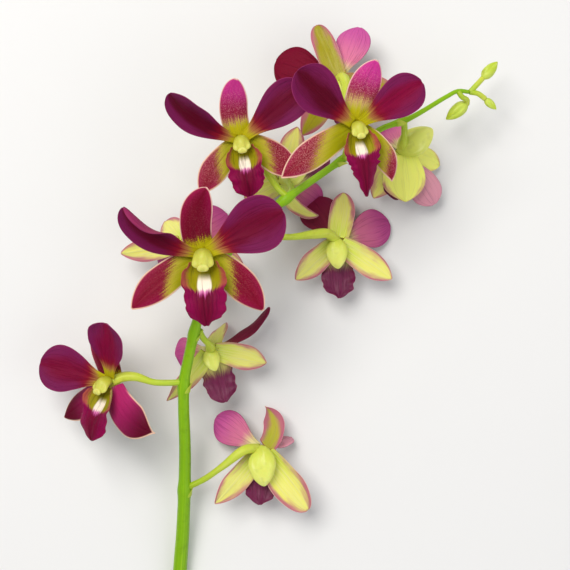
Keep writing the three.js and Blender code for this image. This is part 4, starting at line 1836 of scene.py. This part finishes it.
@dataclass(frozen=True)
class Bud:
    """A closed bud: at is its neck, aim the way it points from above, and rise how far it points up."""

    name: str
    at: Point
    aim: float
    rise: float
    size: float
    stalk: Sequence[Point]

    seams: ClassVar[Point] = (-math.pi / 2, math.pi / 6, 5 * math.pi / 6)
    seam_twist: ClassVar[float] = 0.5
    seam_width: ClassVar[float] = 0.2
    seam_depth: ClassVar[float] = 0.75
    seam_start: ClassVar[Pair] = (0.12, 0.5)  # shares of its length between which they deepen
    fullness: ClassVar[float] = 0.35

    def relief(self, angle: float, share: float) -> float:
        """The seams between the bud's folded sepals.

        Args:
            angle: Angle round the bud, in radians.
            share: Share along it.

        Returns:
            The height, in mm.
        """
        turned = self.seam_twist * share
        nearest = min(abs(math.remainder(angle - seam - turned, 2 * math.pi)) for seam in self.seams)
        height = self.fullness - self.seam_depth * hump(nearest, 0, self.seam_width)
        return self.size * height * smooth(share, *self.seam_start)

    def build(self, palette: Palette) -> list[Piece]:
        """Builds the bud and its stalk.

        Args:
            palette: The finishes.

        Returns:
            The pieces.
        """
        turn = Matrix.Rotation(math.radians(self.aim + 90), 4, "Z")
        lean = Matrix.Rotation(math.radians(-self.rise), 4, "X")
        form = Blob(BUD_STATIONS, self.size, around=36, along=26, relief=self.relief)
        place = Matrix.Translation(self.at) @ turn @ lean
        bud = form.piece(f"{self.name}_tissue", place, palette.bud, self.name, "bud")
        mesh = tube(self.stalk, lambda angle, share: BUD_STALK_RADIUS, around=16, along=20, seed=self.size)
        stalk = publish(f"{self.name}_stalk", mesh, Matrix(), [palette.stalk, palette.stalk])
        return [bud, Piece(stalk, self.name, "stalk")]


@dataclass(frozen=True)
class Stem:
    """The main stem, with a knot and a scale wherever a stalk leaves it.

    line is what its middle passes through and joints where the stalks leave it. around and along are its faces
    round it and along it. knot is how far a knot stands out and knot_width how many faces long it is. rib is how
    far each of its ribs stands out as a share of its radius. bract is the length that scales are measured by.
    """

    line: Sequence[Point]
    joints: Sequence[Point]
    around: int = 20
    along: int = 220
    knot: float = 0.45
    knot_width: float = 2.2
    ribs: int = 9
    rib: float = 0.04
    rib_shift: float = 5.0  # how far the ribs' wave shifts from foot to tip, in radians
    bract: float = 6.0
    bract_least: float = 0.45  # share of that length which does not grow with the stem's radius
    bract_radius: float = 6.0  # radius that adds that length once more
    bract_lift: float = 0.6  # share of a knot's height at which its scale lies
    bract_back: int = 2  # how many faces below its joint a scale starts

    def radius(self, share: float) -> float:
        """The stem's plain radius at a share of its length, in mm."""
        foot, tip = STEM_RADIUS
        return foot + (tip - foot) * share

    def ribbed(self, angle: float, share: float) -> float:
        """The radius with its ribs, at an angle in radians and a share of the stem's length."""
        ribs = 1 + self.rib * math.cos(self.ribs * angle + self.rib_shift * share)
        return self.radius(share) * ribs

    def build(self, palette: Palette) -> list[Piece]:
        """Builds the stem and its scales.

        Args:
            palette: The finishes.

        Returns:
            The pieces.
        """
        rings = rings_along(self.line, self.along)
        found = []
        for joint in self.joints:
            gaps = [(ring.centre - Vector(joint)).length for ring in rings]
            found.append(gaps.index(min(gaps)))

        def knotted(angle: float, share: float) -> float:
            """The ribbed radius with its knots, at an angle in radians and a share of the length."""
            knots = sum(hump(share * self.along, place - 1, self.knot_width) for place in found)
            return self.ribbed(angle, share) + self.knot * knots

        mesh = tube(self.line, knotted, self.around, self.along, seed=1.0)
        pieces = [Piece(publish("stem_tissue", mesh, Matrix(), [palette.stem, palette.cut]), "stem", "stem")]
        for number, (place, joint) in enumerate(zip(found, self.joints), 1):
            pieces.append(self.build_bract(number, rings, place, Vector(joint), palette))
        return pieces

    def build_bract(self, number: int, rings: Sequence[Ring], place: int, joint: Vector, palette: Palette) -> Piece:
        """Builds the scale at a joint.

        Args:
            number: The joint's number from the stem's foot.
            rings: The stem's frames.
            place: Number of the frame nearest to the joint.
            joint: Where the stalk leaves the stem.
            palette: The finishes.

        Returns:
            The piece.
        """
        ring = rings[max(place - self.bract_back, 0)]
        away = joint - rings[place].centre
        turn = math.atan2(away.dot(ring.up), away.dot(ring.side))
        size = self.radius(place / self.along)
        length = self.bract * (self.bract_least + size / self.bract_radius)
        surface = BractSurface(ring, size + self.knot * self.bract_lift, turn, length)
        scale = BRACT_SHEET.build(f"bract_{number:02d}", surface, Matrix(), [palette.bract, palette.bract])
        return Piece(scale, "stem", "stem")


@dataclass(frozen=True)
class SoftLight:
    """A square lamp that looks at the spray, in metres and watts."""

    name: str
    place: Point
    size: float
    power: float
    tone: Colour

    def hang(self) -> None:
        """Hangs the lamp."""
        lamp = bpy.data.lights.new(self.name, "AREA")
        lamp.shape = "SQUARE"
        lamp.size = self.size
        lamp.energy = self.power
        lamp.color = self.tone
        body = bpy.data.objects.new(self.name, lamp)
        body.location = self.place
        body.rotation_euler = (-Vector(self.place)).to_track_quat("-Z", "Y").to_euler()
        bpy.context.scene.collection.objects.link(body)


@dataclass(frozen=True)
class Studio:
    """The floor, the soft lights and the camera that looks straight down.

    eye is in mm above the spray. lens and sensor are in mm, and what else has a length is in metres.
    """

    eye: Point = (0.0, 0.0, 647.0)
    lens: float = 88.1
    sensor: float = 36.0
    clip: Pair = (0.01, 50)
    floor_size: float = 12.0
    floor_drop: float = 0.0001
    sky: Colour = (0.93, 0.95, 1.0)
    sky_strength: float = 0.42
    lights: Sequence[SoftLight] = (
        SoftLight("key", (-0.36, 0.50, 1.15), 0.7, 13.5, (1.0, 0.985, 0.96)),
        SoftLight("fill", (0.8, -0.5, 0.9), 1.3, 5.0, (0.95, 0.97, 1.0)),
    )

    def build(self) -> None:
        """Builds the floor, lights and camera."""
        self.build_floor()
        for light in self.lights:
            light.hang()
        self.build_sky()
        self.build_camera()

    def build_floor(self) -> None:
        """Builds the pale floor just under the spray."""
        mesh = bmesh.new()
        bmesh.ops.create_grid(mesh, x_segments=1, y_segments=1, size=self.floor_size / 2)
        bmesh.ops.translate(mesh, verts=mesh.verts, vec=(0, 0, -self.floor_drop))
        floor = stand("floor", mesh, [FloorFinish().material()])

    def build_sky(self) -> None:
        """Surrounds the spray with even, pale light."""
        world = bpy.data.worlds.new("studio")
        world.use_nodes = True
        sky = world.node_tree.nodes["Background"]
        sky.inputs["Color"].default_value = (*self.sky, 1.0)
        sky.inputs["Strength"].default_value = self.sky_strength
        bpy.context.scene.world = world
        bpy.context.scene.view_settings.view_transform = "Standard"

    def build_camera(self) -> None:
        """Places the camera."""
        lens = bpy.data.cameras.new("camera")
        lens.lens = self.lens
        lens.sensor_width = self.sensor
        lens.clip_start, lens.clip_end = self.clip
        body = bpy.data.objects.new("camera", lens)
        body.location = TO_FRAME @ Vector(self.eye)
        bpy.context.scene.collection.objects.link(body)
        bpy.context.scene.camera = body


# A flower's dusk darkens its petals, partly as painted shade where they lie in shadow.
FLOWERS = (
    Flower(
        name="flower_01", at=(-10.4, -74.1, 17.9), facing=Facing.DOWN, chin=268, lip=0.84, spur=274,
        spur_size=1.28, depth=0.2, dark_and_shaded=(0.1, -1.0),
        stalk=((-44, -91.6, 14.5), (-36, -87, 21), (-28, -81, 24.9), (-18, -73.5, 25.4), (-12, -73.4, 20.4)),
        dorsal=Tepal(40, 26.5, 10, 38, 10, -20, 0, 104, acute=0.9, yellow=-1),
        lateral_left=Tepal(232, 31, 12, 2, 5, -20, 25, -6),
        lateral_right=Tepal(305, 33, 16.5, 2, 5, -48, 0, 4, acute=-0.25),
        petal_left=Tepal(150, 27, 16, 26, 8, 15),
        petal_right=Tepal(16, 19, 8, 46, 8, 15, 66),
    ),
    Flower(
        name="flower_02", at=(-77, -42.7, 33), facing=Facing.UP, yaw=-35, nod=-12, chin=258, lip=0.9, depth=1.4,
        dark_and_shaded=(0.3, 0.1),
        stalk=((-44.7, -43, 29), (-52, -43.2, 31), (-58.2, -42.8, 32), (-66, -40.4, 32.6), (-71.5, -40.6, 32),
               (-76, -42.4, 32)),
        dorsal=Tepal(120, 26, 13.5, 4, 6, -25),
        lateral_left=Tepal(212, 30, 14, 0, -5, -15),
        lateral_right=Tepal(-68, 33, 16, 0, -12, -20, 0, 62, acute=0.7, yellow=-0.4),
        petal_left=Tepal(170, 32, 21, 20, 8, 15),
        petal_right=Tepal(76, 26.5, 23, 26, 10, 20),
    ),
    Flower(
        name="flower_03", at=(-33.7, -29.2, 19.1), facing=Facing.DOWN, chin=286, lip=0.82, spur_size=0.78,
        dark_and_shaded=(0.2, 0.9),
        stalk=((-37.6, -20.2, 35), (-36, -23.5, 32.4), (-33.5, -26.5, 28.2), (-33.4, -28.8, 21.6)),
        dorsal=Tepal(62, 22, 8, 55, 8, -20, 60),
        lateral_left=Tepal(234, 29, 11, 8, 0, -20, 55, -10),
        lateral_right=Tepal(350, 25, 12, 10, 5, -25, 0, -8),
        petal_left=Tepal(190, 20, 15, 38, 5, 15),
        petal_right=Tepal(16, 33, 8, 16, 0, 15, 72, 42),
    ),
    Flower(
        name="flower_04", at=(-34, 12.9, 68), facing=Facing.UP, apart=True, chin=273, lip=1, depth=1,
        dark_and_shaded=(0.75, 0.55),
        stalk=((-34.4, -6.5, 39), (-34.6, -2, 46), (-34.4, 6, 56), (-34, 12, 64)),
        dorsal=Tepal(116, 28, 14, 10, 10, -25, 0, -66),
        lateral_left=Tepal(209, 36, 14, 5, -5, -15, 0, 18),
        lateral_right=Tepal(-33, 33, 14, 0, -10, -15, 0, -22),
        petal_left=Tepal(171, 38, 17.5, 14, 8, 20, -48, -46, 95),
        petal_right=Tepal(28.5, 36.5, 24, 8, 5, 15, 0, -2),
    ),
    Flower(
        name="flower_05", at=(-45.2, 18.8, 19.7), facing=Facing.DOWN, chin=300, lip=0.86,
        stalk=((-30.9, 3.9, 40), (-35, 8, 37.9), (-40.5, 14, 32.8), (-45, 18.4, 22.2)),
        dorsal=Tepal(133, 21.5, 12, 50, 8, -20),
        lateral_left=Tepal(189, 28, 11.5, 10, 0, -20, 20),
        lateral_right=Tepal(340, 27, 12, 12, 5, -20),
        petal_left=Tepal(232, 24, 16, 48, 5, 15),
        petal_right=Tepal(38, 27, 17, 35, 5, 15),
    ),
    Flower(
        name="flower_06", at=(23.3, 19.7, 15.8), facing=Facing.DOWN, chin=273, lip=0.86, dark_and_shaded=(0.9, 0.3),
        stalk=((-17.3, 22.9, 43), (-9, 21.5, 41), (2, 21, 35.9), (13, 22.5, 28.9), (19, 23, 23.8),
               (23, 20.2, 18.3)),
        dorsal=Tepal(76, 26, 12, 30, 8, -20, 0, 10),
        lateral_left=Tepal(223, 24, 12, 10, 0, -20, 20),
        lateral_right=Tepal(326, 29, 12.5, 8, 0, -20),
        petal_left=Tepal(120, 24, 18, 26, 5, 15),
        petal_right=Tepal(20, 28, 18, 25, 5, 15),
    ),
    Flower(
        name="flower_07", at=(-18.6, 61.3, 57), facing=Facing.UP, apart=True, chin=279, lip=0.82, depth=0.45,
        dark_and_shaded=(0.9, 0.65),
        stalk=((1.3, 38, 44), (-3, 41.5, 46), (-10, 51.5, 48), (-16.5, 59.5, 51), (-18.6, 61.3, 54)),
        dorsal=Tepal(111, 25, 12.6, 10, 10, -25, 0, -36, acute=-0.12),
        lateral_left=Tepal(222, 27, 12, 5, -5, -15, 0, 24),
        lateral_right=Tepal(-20, 27, 13, 0, -10, -15, 0, -28),
        petal_left=Tepal(166, 35, 16, 15, 0, 25, -50, -38),
        petal_right=Tepal(40, 34, 18.5, 5, 5, 15),
    ),
    Flower(
        name="flower_08", at=(-0.9, 47.3, 18.1), facing=Facing.DOWN, chin=30, lip=0.8,
        stalk=((1.3, 38, 44), (3, 41.5, 40.7), (1.2, 45.4, 34.4), (-0.8, 47.2, 21.1)),
        dorsal=Tepal(203, 24, 13, 40, 8, -20),
        lateral_left=Tepal(275, 24, 6.5, 12, 0, -20, 20, 88),
        lateral_right=Tepal(75, 25, 12, 18, 0, -20),
        petal_left=Tepal(140, 25, 17, 34, 5, 15),
        petal_right=Tepal(325, 25, 17, 40, 5, 15),
    ),
    Flower(
        name="flower_09", at=(29.4, 65.8, 70), facing=Facing.UP, apart=True, yaw=12, chin=280, lip=0.78,
        lip_shape=LipShape.FOLDED, depth=0.1, dark_and_shaded=(0.9, 0.05),
        stalk=((26, 55, 43), (26.2, 57, 49), (28, 62, 59), (29, 65.4, 66)),
        dorsal=Tepal(82, 27, 13.8, 10, 10, -25, 0, -16),
        lateral_left=Tepal(211, 37, 12.5, 5, -5, -15, 0, 8, acute=0.15),
        lateral_right=Tepal(-30, 28, 10, 0, -20, -30, 20, -48, acute=0.15, yellow=0.22),
        petal_left=Tepal(146, 33, 20, 10, 5, 15, 0, -8),
        petal_right=Tepal(34, 31.2, 17.5, 5, 5, 15),
    ),
    Flower(
        name="flower_10", at=(23.6, 91, 25), facing=Facing.DOWN, chin=292, lip=0.86, depth=1, dark_and_shaded=(1.0, 0.0),
        stalk=((33.4, 61.6, 42), (28, 69, 41.5), (25.6, 78, 39), (26.8, 87, 36), (25.6, 91.5, 32),
               (23.8, 91.2, 27)),
        dorsal=Tepal(110, 27, 11, 14, 5, -20, acute=-0.25),
        lateral_left=Tepal(236, 28, 12, 18, 0, -20),
        lateral_right=Tepal(350, 28, 12, 18, 0, -20),
        petal_left=Tepal(160, 30, 20, 18, 5, 15),
        petal_right=Tepal(69, 26.2, 16, 12, 5, 15, 20),
    ),
    Flower(
        name="flower_11", at=(52.5, 60.6, 18.6), facing=Facing.DOWN, chin=264, lip=0.75, spur=34, spur_size=1.3,
        dark_and_shaded=(0.0, -1.0),
        stalk=((52, 71.6, 38), (52.4, 69, 34.9), (52.6, 65, 30.7), (52.4, 61, 21.6)),
        # yellow=1 paints light on the backs of these two sepals, which lie in shadow
        dorsal=Tepal(344, 24, 11, 40, 5, -20, yellow=1),
        lateral_left=Tepal(275, 21.5, 20, -2, 5, 20, yellow=1),
        lateral_right=Tepal(240, 25, 13, 22, 8, 20),
        petal_left=Tepal(118, 22, 15, 50, 5, 15),
        petal_right=Tepal(304, 28, 15, 14, 5, 15),
    ),
)

BUDS = (
    Bud("bud_01", (81.5, 81.5, 24), 218, -8, 0.85,
        ((76.5, 85.8, 30), (78.5, 83.4, 28.6), (81, 82.4, 26), (81.3, 80.8, 23.8))),
    Bud("bud_02", (88, 92, 26), 48, -12, 0.72, ((82.1, 85.6, 28), (84.5, 88.2, 28), (88, 92, 26))),
    Bud("bud_03", (89, 83, 26), 318, -14, 0.5, ((82.1, 85.6, 28), (85.5, 85, 27.8), (89, 83, 26))),
)


def main() -> None:
    """Builds the studio and the spray."""
    logging.basicConfig(level=logging.INFO, format="%(message)s")
    Studio().build()
    palette = Palette()
    stem = Stem(STEM_LINE, [flower.stalk[0] for flower in FLOWERS])
    for assembly in (stem, *FLOWERS, *BUDS):
        for piece in assembly.build(palette):
            piece.settle()
            LOG.info("built %s", piece.body.name)


if __name__ == "__main__":
    main()
